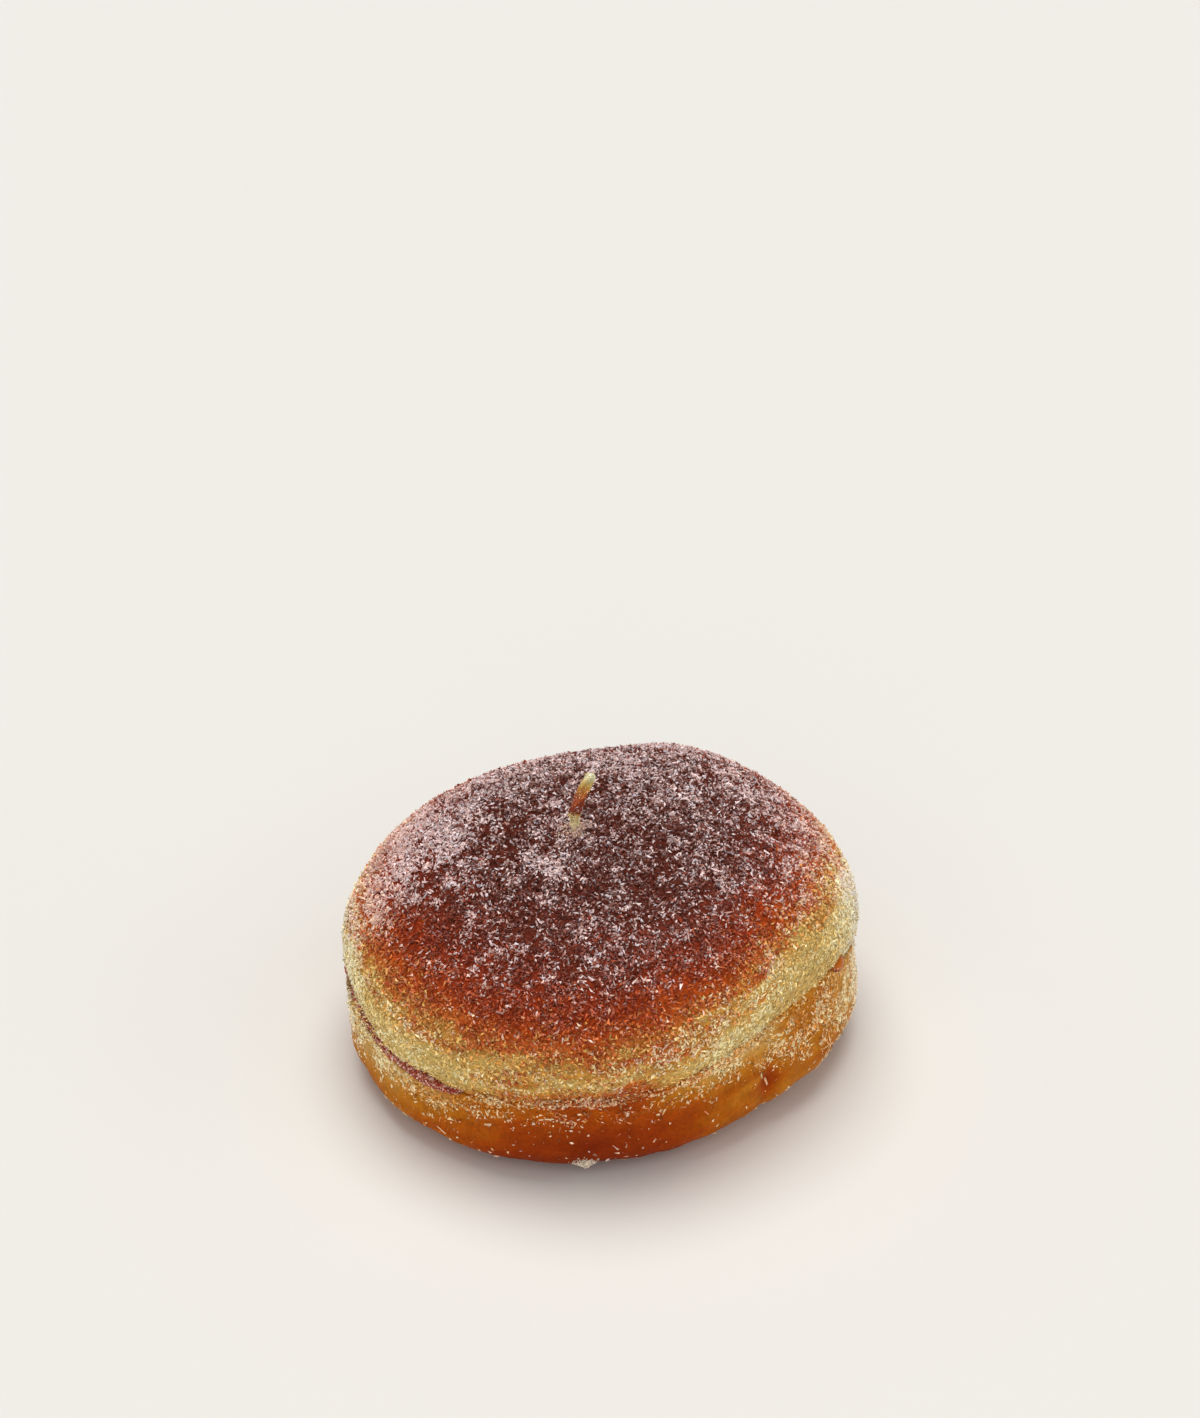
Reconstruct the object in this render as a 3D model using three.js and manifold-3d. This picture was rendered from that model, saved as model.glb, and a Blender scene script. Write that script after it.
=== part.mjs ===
/**
 * A sugared, jelly filled doughnut with a short candle wick standing in its crown.
 *
 * Two browned halves, a base and a top, meet at a crease that runs round the side. A layer of jelly
 * lies between them and comes out to the crease where the crease gapes. The largest sugar crystals
 * are part of the half that they lie on, and the wick stands in a blind socket near the apex.
 *
 * Millimetres, +Z up. The doughnut stands on z = 0 and its front faces -Y. Directions round the
 * doughnut are degrees from +X, turning towards +Y, so the front is at 270.
 */
import * as THREE from 'three';
import { mergeVertices } from 'three/addons/utils/BufferGeometryUtils.js';
import Module from 'manifold-3d';

const wasm = await Module();
wasm.setup();

const { degToRad, radToDeg, lerp, smoothstep, clamp } = THREE.MathUtils;
const TURN = 2 * Math.PI;
const QUARTER = Math.PI / 2;

// ---- Driving dimensions, in millimetres and degrees ------------------------------------------------

// A ring is a mean with swells on it: the k-th swell has k crests, [height, direction of one crest].
const TOP_RADIUS = { mean: 43.54, swells: [[1.14, 72], [2.68, 34.7], [0.89, 33.5], [0.36, 11.7]] };
const BASE_RADIUS = { mean: 42.66, swells: [[1.71, 64.3], [2.67, 27.4], [0.45, 16.9], [0.33, 2.5]] };
const CREASE_HEIGHT = { mean: 18.96, swells: [[2.14, -6], [1.47, -42.9], [0.83, -43.8], [1.0, -22.8], [0.63, -17.6]] };

// The top: how far its widest line is above the crease, and the dome's rise above that line.
const WIDEST_ABOVE_CREASE = 4.43;
const DOME_RISE = 23.87;
const DOME_PLAN_POWER = 2.3;
const DOME_RISE_POWER = 2.1;

// The base: its widest line as a share of the crease's height, and the flat spot that it stands on.
const WIDEST_SHARE = 0.43;
const FOOT_SHARE = 0.66;
const EDGE_PLAN_POWER = 2.13;
const EDGE_RISE_POWER = 2.21;

// The lips either side of the crease tuck in by this much, and more in a broad valley at the right.
const TOP_TUCK = 1.6;
const BASE_TUCK = 1.5;
const VALLEY = { at: 306, spread: 26, deeper: 1.3 };

// The crease is nearly closed, and gapes in three places, where the jelly comes out to its edge.
const CLOSED_GAP = 0.6;
const GAPES = [
  { at: 187, spread: 14, wider: 0.9 },
  { at: 226, spread: 13, wider: 1.6 },
  { at: 357, spread: 10, wider: 0.8 },
];

// Dents pressed into the base's side: across and tall are the distances at which they fade.
const DENTS = [
  { at: 319.5, height: 10.5, across: 2.4, tall: 6.5, depth: 1.5 },
  { at: 296, height: 10.4, across: 1.2, tall: 2.6, depth: 0.7 },
];

// The jelly layer, and the gap that any two touching pieces keep.
const CLEARANCE = 0.3;
const JELLY_THICKNESS = 2.6;
const SPACE_WIDENS_OVER = 6;
const JELLY_INSET_CLOSED = 4;
const JELLY_INSET_SHOWN = 0.5;
const JELLY_EDGE_ROUND = 0.8;

// The wick: where it leaves the dome, how far it stands and is buried, and its middle line as
// [height above the dome, lean to the right] pairs. Its swells are [share of its length, radius].
const WICK_FOOT = { x: -3.8, y: -2.4 };
const WICK_BURIED = 6.5;
const WICK_LINE = [[-WICK_BURIED, 0], [-3, 0], [0, 0], [4.2, 0.1], [8, 1.4], [12.2, 2.8]];
const WICK_SWELLS = [[0, 1], [0.35, 1], [0.48, 0.85], [0.6, 1.12], [0.75, 0.98], [0.92, 1.02], [1, 0.9]];
const WICK_TIP_ROUND = 0.06;

// Sugar: how many large crystals each half carries, and their sizes.
const TOP_CRYSTALS = 150;
const LIP_CRYSTALS = 40;
const EDGE_CRYSTALS = 24;
const CRYSTAL_LENGTH = [1.5, 2.5];
const CRYSTAL_WIDTH = [0.7, 1.05];
const CRYSTAL_SUNK = 0.12;
const WICK_CLEAR = 3.4;
const GOLDEN_ANGLE = TURN * (2 - (1 + Math.sqrt(5)) / 2);
const CRYSTAL_STRAY = 0.1;
const CRYSTAL_TILT = 0.35;
const CLUMP = { at: 267, height: 1.3, count: 5, across: 3.2 };

// Facets: columns round each piece and rows along it.
const BUN_COLUMNS = 90;
const JELLY_COLUMNS = 72;
const WICK_COLUMNS = 10;
const DOME_ROWS = 14;
const EDGE_ROWS = 8;
const LIP_ROWS = 4;
const WICK_ROWS = 14;
const INNER_SHARES = [0, 0.55, 1];

// ---- Small helpers -----------------------------------------------------------------------------------

/** A ring's value in a direction, in radians. */
function around(ring, angle) {
  const swell = ([height, crest], k) => height * Math.cos((k + 1) * (angle - degToRad(crest)));
  return ring.swells.reduce((sum, entry, k) => sum + swell(entry, k), ring.mean);
}

/** 1 in a direction, falling to 0 away from it. */
function near(angle, { at, spread }) {
  const away = ((((radToDeg(angle) - at) % 360) + 540) % 360) - 180;
  return Math.exp(-((away / spread) ** 2));
}

/** Values spaced evenly from one number to another, both included. */
function spaced(from, to, count) {
  return Array.from({ length: count }, (_, i) => lerp(from, to, i / (count - 1)));
}

/** A value read from [position, value] pairs, eased from one pair to the next. */
function eased(pairs, position) {
  const next = Math.max(1, pairs.findIndex(([p]) => p >= position));
  const [[p0, v0], [p1, v1]] = [pairs[next - 1], pairs[next]];
  return lerp(v0, v1, smoothstep(position, p0, p1));
}

/** A seeded source of shares between 0 and 1. */
function seededShares(seed) {
  let state = seed;
  return () => {
    state = (1664525 * state + 1013904223) % 2 ** 32;
    return state / 2 ** 32;
  };
}

/** A point at a radius in a direction, at a height. */
function polar(radius, angle, height) {
  return new THREE.Vector3(radius * Math.cos(angle), radius * Math.sin(angle), height);
}

// ---- The two halves' surfaces ----------------------------------------------------------------------

function creaseGap(angle) {
  return GAPES.reduce((gap, gape) => gap + gape.wider * near(angle, gape), CLOSED_GAP);
}

function lipRadius(ring, tuck, angle) {
  return around(ring, angle) - tuck - VALLEY.deeper * near(angle, VALLEY);
}

const topLipRadius = (angle) => lipRadius(TOP_RADIUS, TOP_TUCK, angle);
const baseLipRadius = (angle) => lipRadius(BASE_RADIUS, BASE_TUCK, angle);

/** Height of a surface that rises and falls with the crease, at a share of the way out to it. */
function creaseHeight(angle, share) {
  return lerp(CREASE_HEIGHT.mean, around(CREASE_HEIGHT, angle), share ** 2);
}

/** Height midway between the halves. */
function middleHeight(angle, radius) {
  const narrow = Math.min(topLipRadius(angle), baseLipRadius(angle));
  return creaseHeight(angle, Math.min(1, radius / narrow));
}

/** Half the space between the halves: it widens from the lips to the jelly's full thickness. */
function halfSpace(angle, depth) {
  const deep = JELLY_THICKNESS / 2 + CLEARANCE;
  return lerp(creaseGap(angle) / 2, deep, clamp(depth / SPACE_WIDENS_OVER, 0, 1));
}

/** The face that a half turns to the jelly: side is 1 for the top half and -1 for the base. */
function innerPoint(lip, side, angle, share) {
  const radius = share * (lip(angle) - SPACE_WIDENS_OVER);
  const height = middleHeight(angle, radius) + side * halfSpace(angle, lip(angle) - radius);
  return polar(radius, angle, height);
}

/** The top's lower lip, from the crease (a quarter turn) to its widest line (0). */
function topLipPoint(angle, turn) {
  const crease = around(CREASE_HEIGHT, angle);
  const edge = crease + creaseGap(angle) / 2;
  const widest = crease + WIDEST_ABOVE_CREASE;
  const radius = lerp(topLipRadius(angle), around(TOP_RADIUS, angle), Math.cos(turn));
  return polar(radius, angle, lerp(widest, edge, Math.sin(turn)));
}

/** The dome, from its widest line (a quarter turn) to the apex (0). */
function domePoint(angle, turn) {
  const share = Math.sin(turn) ** (2 / DOME_PLAN_POWER);
  const rise = DOME_RISE * Math.cos(turn) ** (2 / DOME_RISE_POWER);
  const height = creaseHeight(angle, share) + WIDEST_ABOVE_CREASE + rise;
  return polar(around(TOP_RADIUS, angle) * share, angle, height);
}

function dentDepth(angle, height) {
  return DENTS.reduce((depth, dent) => {
    const spread = radToDeg(dent.across / BASE_RADIUS.mean);
    const level = Math.exp(-(((height - dent.height) / dent.tall) ** 2));
    return depth + dent.depth * level * near(angle, { at: dent.at, spread });
  }, 0);
}

/** The base's upper lip, from its widest line (a quarter turn) to the crease (0). */
function baseLipPoint(angle, turn) {
  const crease = around(CREASE_HEIGHT, angle);
  const edge = crease - creaseGap(angle) / 2;
  const height = lerp(WIDEST_SHARE * crease, edge, Math.cos(turn));
  const radius = lerp(baseLipRadius(angle), around(BASE_RADIUS, angle), Math.sin(turn));
  return polar(radius - dentDepth(angle, height) * Math.sin(turn), angle, height);
}

/** The base's lower edge, from the foot's rim (a quarter turn) to its widest line (0). */
function baseEdgePoint(angle, turn) {
  const full = around(BASE_RADIUS, angle);
  const widest = WIDEST_SHARE * around(CREASE_HEIGHT, angle);
  const height = widest * (1 - Math.sin(turn) ** (2 / EDGE_RISE_POWER));
  const radius = lerp(FOOT_SHARE * full, full, Math.cos(turn) ** (2 / EDGE_PLAN_POWER));
  return polar(radius - dentDepth(angle, height) * Math.cos(turn), angle, height);
}

/** How far out the jelly reaches: nearly to the lips where the crease gapes, and short of them elsewhere. */
function jellyRadius(angle) {
  const shown = smoothstep(creaseGap(angle) - CLOSED_GAP, 0.1, 0.6);
  return narrowLip(angle) - lerp(JELLY_INSET_CLOSED, JELLY_INSET_SHOWN, shown);
}

const narrowLip = (angle) => Math.min(topLipRadius(angle), baseLipRadius(angle));
const jellyHalf = (angle, radius) => halfSpace(angle, narrowLip(angle) - radius) - CLEARANCE;

/** The jelly's upper face (side 1) or underside (side -1). */
function jellyFacePoint(angle, share, side) {
  const radius = share * (narrowLip(angle) - SPACE_WIDENS_OVER);
  return polar(radius, angle, middleHeight(angle, radius) + side * jellyHalf(angle, radius));
}

/** The jelly's rounded edge, from its underside (-a quarter turn) to its top (a quarter turn). */
function jellyEdgePoint(angle, turn) {
  const inner = jellyRadius(angle) - JELLY_EDGE_ROUND;
  const radius = inner + JELLY_EDGE_ROUND * Math.cos(turn);
  return polar(radius, angle, middleHeight(angle, radius) + jellyHalf(angle, inner) * Math.sin(turn));
}

// ---- Solids ------------------------------------------------------------------------------------------

/** Keeps only the places of a geometry's vertices, shares those that meet, and drops empty triangles. */
function welded(geometry) {
  geometry.deleteAttribute('normal');
  geometry.deleteAttribute('uv');
  const shared = mergeVertices(geometry);
  const kept = [];
  for (let i = 0; i < shared.index.count; i += 3) {
    const [a, b, c] = [0, 1, 2].map((n) => shared.index.getX(i + n));
    if (a !== b && b !== c && c !== a) kept.push(a, b, c);
  }
  shared.setIndex(kept);
  return shared;
}

/** A closed body from rows of points: the first and last row are single points on the axis. */
function shell(rows, columns) {
  const profile = rows.map((_, j) => new THREE.Vector2(j % (rows.length - 1) ? 1 : 0, j));
  const lathe = new THREE.LatheGeometry(profile, columns);
  const position = lathe.getAttribute('position');
  for (let i = 0; i < position.count; i++) {
    const angle = (TURN * (Math.floor(i / rows.length) % columns)) / columns;
    const { x, y, z } = rows[i % rows.length](angle);
    position.setXYZ(i, x, y, z);
  }
  return welded(lathe);
}

function toSolid(geometry) {
  const vertProperties = new Float32Array(geometry.getAttribute('position').array);
  const triVerts = new Uint32Array(geometry.index.array);
  return new wasm.Manifold(new wasm.Mesh({ numProp: 3, vertProperties, triVerts }));
}

function toGeometry(solid) {
  const mesh = solid.getMesh();
  const geometry = new THREE.BufferGeometry();
  geometry.setAttribute('position', new THREE.BufferAttribute(mesh.vertProperties, 3));
  geometry.setIndex(new THREE.BufferAttribute(mesh.triVerts, 1));
  return geometry;
}

/** Makes rows of one surface function, from one turn to another. */
function rowsOf(point, from, to, count) {
  return spaced(from, to, count).map((turn) => (angle) => point(angle, turn));
}

function topShell() {
  const inner = INNER_SHARES.map((share) => (angle) => innerPoint(topLipRadius, 1, angle, share));
  const lip = rowsOf(topLipPoint, QUARTER, 0, LIP_ROWS).slice(0, -1);
  return shell([...inner, ...lip, ...rowsOf(domePoint, QUARTER, 0, DOME_ROWS)], BUN_COLUMNS);
}

function baseShell() {
  const floor = () => new THREE.Vector3(0, 0, 0);
  const edge = rowsOf(baseEdgePoint, QUARTER, 0, EDGE_ROWS).slice(0, -1);
  const lip = rowsOf(baseLipPoint, QUARTER, 0, LIP_ROWS);
  const inner = INNER_SHARES.map((share) => (angle) => innerPoint(baseLipRadius, -1, angle, share));
  return shell([floor, ...edge, ...lip, ...inner.reverse()], BUN_COLUMNS);
}

function jellyShell() {
  const face = (side) => INNER_SHARES.map((share) => (angle) => jellyFacePoint(angle, share, side));
  const edge = rowsOf(jellyEdgePoint, -QUARTER, QUARTER, 5);
  return shell([...face(-1), ...edge, ...face(1).reverse()], JELLY_COLUMNS);
}

/** Height at which the dome passes the wick's foot. */
const wickFootHeight = (() => {
  const { x, y } = WICK_FOOT;
  const angle = Math.atan2(y, x);
  const share = Math.hypot(x, y) / around(TOP_RADIUS, angle);
  return domePoint(angle, Math.asin(share ** (DOME_PLAN_POWER / 2))).z;
})();

const wickLine = new THREE.CatmullRomCurve3(
  WICK_LINE.map(([height, lean]) => new THREE.Vector3(lean, 0, height)),
);

/** A point on the wick: up is 0 at its lower end and 1 at its tip, where it rounds off. */
function wickPoint(angle, up) {
  const tip = Math.sqrt(1 - smoothstep(up, 1 - WICK_TIP_ROUND, 1) ** 2);
  const ring = polar(eased(WICK_SWELLS, up) * tip, angle, 0);
  return ring.add(wickLine.getPoint(up)).add(new THREE.Vector3(WICK_FOOT.x, WICK_FOOT.y, wickFootHeight));
}

function wickShell() {
  const { x, y } = WICK_FOOT;
  const butt = () => new THREE.Vector3(x, y, wickFootHeight - WICK_BURIED);
  const tip = rowsOf(wickPoint, 1 - WICK_TIP_ROUND, 1, 4).slice(1);
  return shell([butt, ...rowsOf(wickPoint, 0, 1 - WICK_TIP_ROUND, WICK_ROWS), ...tip], WICK_COLUMNS);
}

/** The hole that the wick stands in, open at the dome. */
function wickSocket() {
  const radius = WICK_SWELLS[0][1] + CLEARANCE;
  const depth = WICK_BURIED + CLEARANCE;
  const above = 3;
  const hole = new THREE.CylinderGeometry(radius, radius, depth + above, 2 * WICK_COLUMNS);
  hole.rotateX(QUARTER);
  hole.translate(WICK_FOOT.x, WICK_FOOT.y, wickFootHeight + (above - depth) / 2);
  return toSolid(welded(hole));
}

// ---- Sugar crystals ------------------------------------------------------------------------------------

/** Place and outward direction on a surface function. */
function surfaceSpot(point, angle, turn) {
  const step = 1e-3;
  const place = point(angle, turn);
  const along = point(angle + step, turn).sub(point(angle - step, turn));
  const down = point(angle, turn + step).sub(point(angle, turn - step));
  const out = along.cross(down).normalize();
  if (out.dot(new THREE.Vector3(place.x, place.y, 0.3 * TOP_RADIUS.mean)) < 0) out.negate();
  return { place, out };
}

/** A crystal: a stretched octahedron, lying along the surface at a random heading and tilt. */
function crystal({ place, out }, share) {
  const length = lerp(...CRYSTAL_LENGTH, share() ** 2);
  const width = lerp(...CRYSTAL_WIDTH, share());
  const body = new THREE.OctahedronGeometry(0.5);
  body.scale(length, width, 0.9 * width);
  body.rotateY(lerp(-CRYSTAL_TILT, CRYSTAL_TILT, share()));
  body.rotateZ(TURN * share());
  body.applyQuaternion(new THREE.Quaternion().setFromUnitVectors(new THREE.Vector3(0, 0, 1), out));
  const centre = place.clone().addScaledVector(out, -CRYSTAL_SUNK);
  body.translate(centre.x, centre.y, centre.z);
  return toSolid(welded(body));
}

/** Turns between two limits, one for each crystal, so that equal areas carry equal numbers. */
function evenTurns(point, from, to, count) {
  const turns = spaced(from, to, 61);
  const bands = turns.slice(1).map((turn, i) => {
    const [low, high] = [point(0, turns[i]), point(0, turn)];
    return low.distanceTo(high) * (Math.hypot(low.x, low.y) + Math.hypot(high.x, high.y));
  });
  const total = bands.reduce((sum, band) => sum + band, 0);
  return Array.from({ length: count }, (_, i) => {
    let left = (total * (i + 0.5)) / count;
    const band = bands.findIndex((size) => (left -= size) <= 0);
    return lerp(turns[band + 1], turns[band], -left / bands[band]);
  });
}

/** Crystals spread evenly over part of a half, in a spiral with a small random stray. */
function scattered(point, from, to, count, share) {
  const spots = evenTurns(point, from, to, count).map((turn, i) => {
    const angle = (i * GOLDEN_ANGLE + CRYSTAL_STRAY * share()) % TURN;
    return surfaceSpot(point, angle, turn);
  });
  const free = ({ place }) => Math.hypot(place.x - WICK_FOOT.x, place.y - WICK_FOOT.y) > WICK_CLEAR;
  return spots.filter(free).map((spot) => crystal(spot, share));
}

/** The clump of sugar that sticks to the base's front edge, just above the floor. */
function clump(share) {
  return spaced(-0.5, 0.5, CLUMP.count).map((across) => {
    const angle = degToRad(CLUMP.at) + (across * CLUMP.across) / BASE_RADIUS.mean;
    const widest = WIDEST_SHARE * around(CREASE_HEIGHT, angle);
    const turn = Math.asin((1 - CLUMP.height / widest) ** (EDGE_RISE_POWER / 2));
    return crystal(surfaceSpot(baseEdgePoint, angle, turn), share);
  });
}

const joined = (body, pieces) => pieces.reduce((solid, piece) => solid.add(piece), body);

function topSolid() {
  const share = seededShares(11);
  const sugar = scattered(domePoint, 0.1, QUARTER - 0.05, TOP_CRYSTALS, share);
  return joined(toSolid(topShell()), sugar).subtract(wickSocket());
}

function baseSolid() {
  const share = seededShares(23);
  const onLip = scattered(baseLipPoint, 0.75, QUARTER, LIP_CRYSTALS, share);
  const onEdge = scattered(baseEdgePoint, 0, 0.9, EDGE_CRYSTALS, share);
  return joined(toSolid(baseShell()), [...onLip, ...onEdge, ...clump(share)]);
}

// ---- The doughnut ----------------------------------------------------------------------------------------

function named(name, geometry, look) {
  const faceted = geometry.toNonIndexed();
  faceted.computeVertexNormals();
  const mesh = new THREE.Mesh(faceted, new THREE.MeshStandardMaterial({ metalness: 0, ...look }));
  mesh.name = name;
  return mesh;
}

const doughnut = new THREE.Group();
doughnut.add(
  named('bun_base', toGeometry(baseSolid()), { color: 0xc07a20, roughness: 0.7 }),
  named('jelly', jellyShell(), { color: 0x7a2420, roughness: 0.35 }),
  named('bun_top', toGeometry(topSolid()), { color: 0x8a4224, roughness: 0.75 }),
  named('wick', wickShell(), { color: 0xc09050, roughness: 0.6 }),
);

// The origin is the centre of the plan outline, on the floor.
const centre = new THREE.Box3().setFromObject(doughnut).getCenter(new THREE.Vector3());
doughnut.position.set(-centre.x, -centre.y, 0);

export default doughnut;
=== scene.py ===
"""The looks of a sugared, jelly filled doughnut with a short candle wick standing in its crown.

The two browned halves, the jelly between them and the wick are modelled again at a fine scale on the
same surfaces as their solids, and every sugar grain is a small mesh of its own size, joined with the
others of its kind. Shapes are worked out in millimetres round the doughnut's own axis, and go into
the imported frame, in metres, when a mesh is made. Directions round the doughnut are degrees from +X,
turning towards +Y, so its front is at 270.
"""

from __future__ import annotations

import logging
from collections.abc import Callable, Sequence
from dataclasses import dataclass, field
from enum import Enum
from functools import cached_property

import bpy
import numpy as np
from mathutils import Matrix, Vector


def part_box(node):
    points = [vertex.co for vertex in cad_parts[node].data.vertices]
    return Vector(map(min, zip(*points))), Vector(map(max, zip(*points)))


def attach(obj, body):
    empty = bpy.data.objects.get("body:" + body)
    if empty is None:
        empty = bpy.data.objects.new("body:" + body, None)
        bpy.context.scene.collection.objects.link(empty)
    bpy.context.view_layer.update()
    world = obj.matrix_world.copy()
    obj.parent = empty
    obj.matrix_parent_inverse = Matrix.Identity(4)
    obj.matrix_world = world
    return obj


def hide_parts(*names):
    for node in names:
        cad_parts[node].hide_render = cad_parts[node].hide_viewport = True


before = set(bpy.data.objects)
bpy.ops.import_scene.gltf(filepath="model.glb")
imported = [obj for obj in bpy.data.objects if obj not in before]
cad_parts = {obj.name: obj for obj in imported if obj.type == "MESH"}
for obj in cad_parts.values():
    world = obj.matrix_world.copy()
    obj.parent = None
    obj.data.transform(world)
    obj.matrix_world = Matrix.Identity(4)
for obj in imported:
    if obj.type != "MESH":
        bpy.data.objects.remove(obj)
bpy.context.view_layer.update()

LOG = logging.getLogger("doughnut")
MM = 0.001
TURN = 2 * np.pi
QUARTER = np.pi / 2
BODY = "root"
BAKE_MAP = "OFBake"

Array = np.ndarray
Facts = dict[str, Array]
Surface = Callable[[Array, Array], Array]
Pairs = tuple[tuple[float, float], ...]
Material = bpy.types.Material
Socket = bpy.types.NodeSocket


# ---- Numbers round the doughnut


def lerp(low: Array | float, high: Array | float, share: Array | float) -> Array:
    """Value at a share of the way from low to high."""
    return low + (high - low) * share


def ease(share: Array) -> Array:
    """Share between 0 and 1, eased at both ends."""
    held = np.clip(share, 0, 1)
    return held * held * (3 - 2 * held)


def polar(radius: Array, angle: Array, height: Array) -> Array:
    """Places at a radius in a direction, at a height."""
    return np.stack(np.broadcast_arrays(radius * np.cos(angle), radius * np.sin(angle), height), -1)


def bell(away: Array, reach: float) -> Array:
    """1 at nothing, falling to 0 on both sides of it."""
    return np.exp(-((away / reach) ** 2))


def fade(value: Array, start: float, over: float) -> Array:
    """1 up to a start, eased to 0 over a distance past it."""
    return 1 - ease((value - start) / over)


def near(angle: Array, at: float, spread: float) -> Array:
    """1 in a direction in degrees, falling to 0 away from it."""
    return bell((np.degrees(angle) - at + 540) % 360 - 180, spread)


def directions(columns: int) -> Array:
    """Evenly spaced directions round the doughnut, in radians."""
    return TURN * np.arange(columns) / columns


def direction(places: Array) -> Array:
    """The direction of each place, in radians."""
    return np.arctan2(places[..., 1], places[..., 0])


def push_out(places: Array, swell: Array) -> None:
    """Moves places away from the doughnut's axis."""
    level = places[..., :2]
    level *= (1 + swell / np.linalg.norm(level, axis=-1))[..., None]


@dataclass(frozen=True)
class Ring:
    """A value that swells and sinks round the doughnut: a mean, and swells of 1, 2, 3... crests."""

    mean: float
    swells: Pairs

    def at(self, angle: Array) -> Array:
        """Value in a direction, in radians."""
        waves = (h * np.cos((k + 1) * (angle - np.radians(c))) for k, (h, c) in enumerate(self.swells))
        return self.mean + sum(waves)


@dataclass(frozen=True)
class Belt:
    """A value given in a few directions round the doughnut, and straight between them."""

    marks: Pairs

    def at(self, angle: Array) -> Array:
        """Value in a direction, in radians."""
        where, value = np.array(self.marks).T
        return np.interp(np.degrees(angle) % 360, where, value, period=360)


@dataclass(frozen=True)
class Stretch:
    """An amount on a stretch of the way round the doughnut, falling to nothing beyond it."""

    middle: float
    spread: float
    amount: float = 1.0

    def at(self, angle: Array) -> Array:
        """Amount in a direction, in radians."""
        return self.amount * near(angle, self.middle, self.spread)


@dataclass(frozen=True)
class Touch(Stretch):
    """A stretch whose amount also changes with height: its share at a few marks, straight between."""

    marks: tuple[float, ...] = ()
    shares: tuple[float, ...] = (0, 1, 1, 0)

    def over(self, angle: Array, height: Array) -> Array:
        """Amount in a direction, in radians, at a height."""
        return self.at(angle) * np.interp(height, self.marks, self.shares)


class Mottle:
    """Seeded noise through space: smooth random numbers, nearly all from -1 to 1."""

    CELLS = 32
    LAYERS_APART = 7.3
    GAIN = 1.6

    def __init__(self, seed: int) -> None:
        """Draws the noise's lattice from a seed."""
        self.lattice = np.random.default_rng(seed).uniform(-1, 1, (self.CELLS,) * 3)

    def at(self, places: Array, size: float, layers: int = 2) -> Array:
        """Reads the noise.

        Args:
            places: Points, in millimetres, along the last axis.
            size: Millimetres from one lump to the next.
            layers: How many ever finer layers to add.

        Returns:
            One number for each point.
        """
        total, weight = np.zeros(places.shape[:-1]), 0.0
        for layer in range(layers):
            total += self._layer(places * 2**layer / size + self.LAYERS_APART * layer) / 2**layer
            weight += 1 / 2**layer
        return total / weight * self.GAIN

    def _layer(self, at: Array) -> Array:
        """One layer of the noise, at points in lattice cells."""
        cell = np.floor(at).astype(int)
        share = ease(at - cell)
        total = np.zeros(at.shape[:-1])
        for corner in np.ndindex(2, 2, 2):
            i, j, k = np.moveaxis((cell + corner) % self.CELLS, -1, 0)
            weight = np.prod(np.where(np.array(corner) == 1, share, 1 - share), axis=-1)
            total += self.lattice[i, j, k] * weight
        return total


# ---- The doughnut's surfaces


@dataclass(frozen=True)
class Dent:
    """A dent pressed into the base's side: its direction, its middle's height, and its size."""

    at: float
    height: float
    across: float
    tall: float
    depth: float


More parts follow.
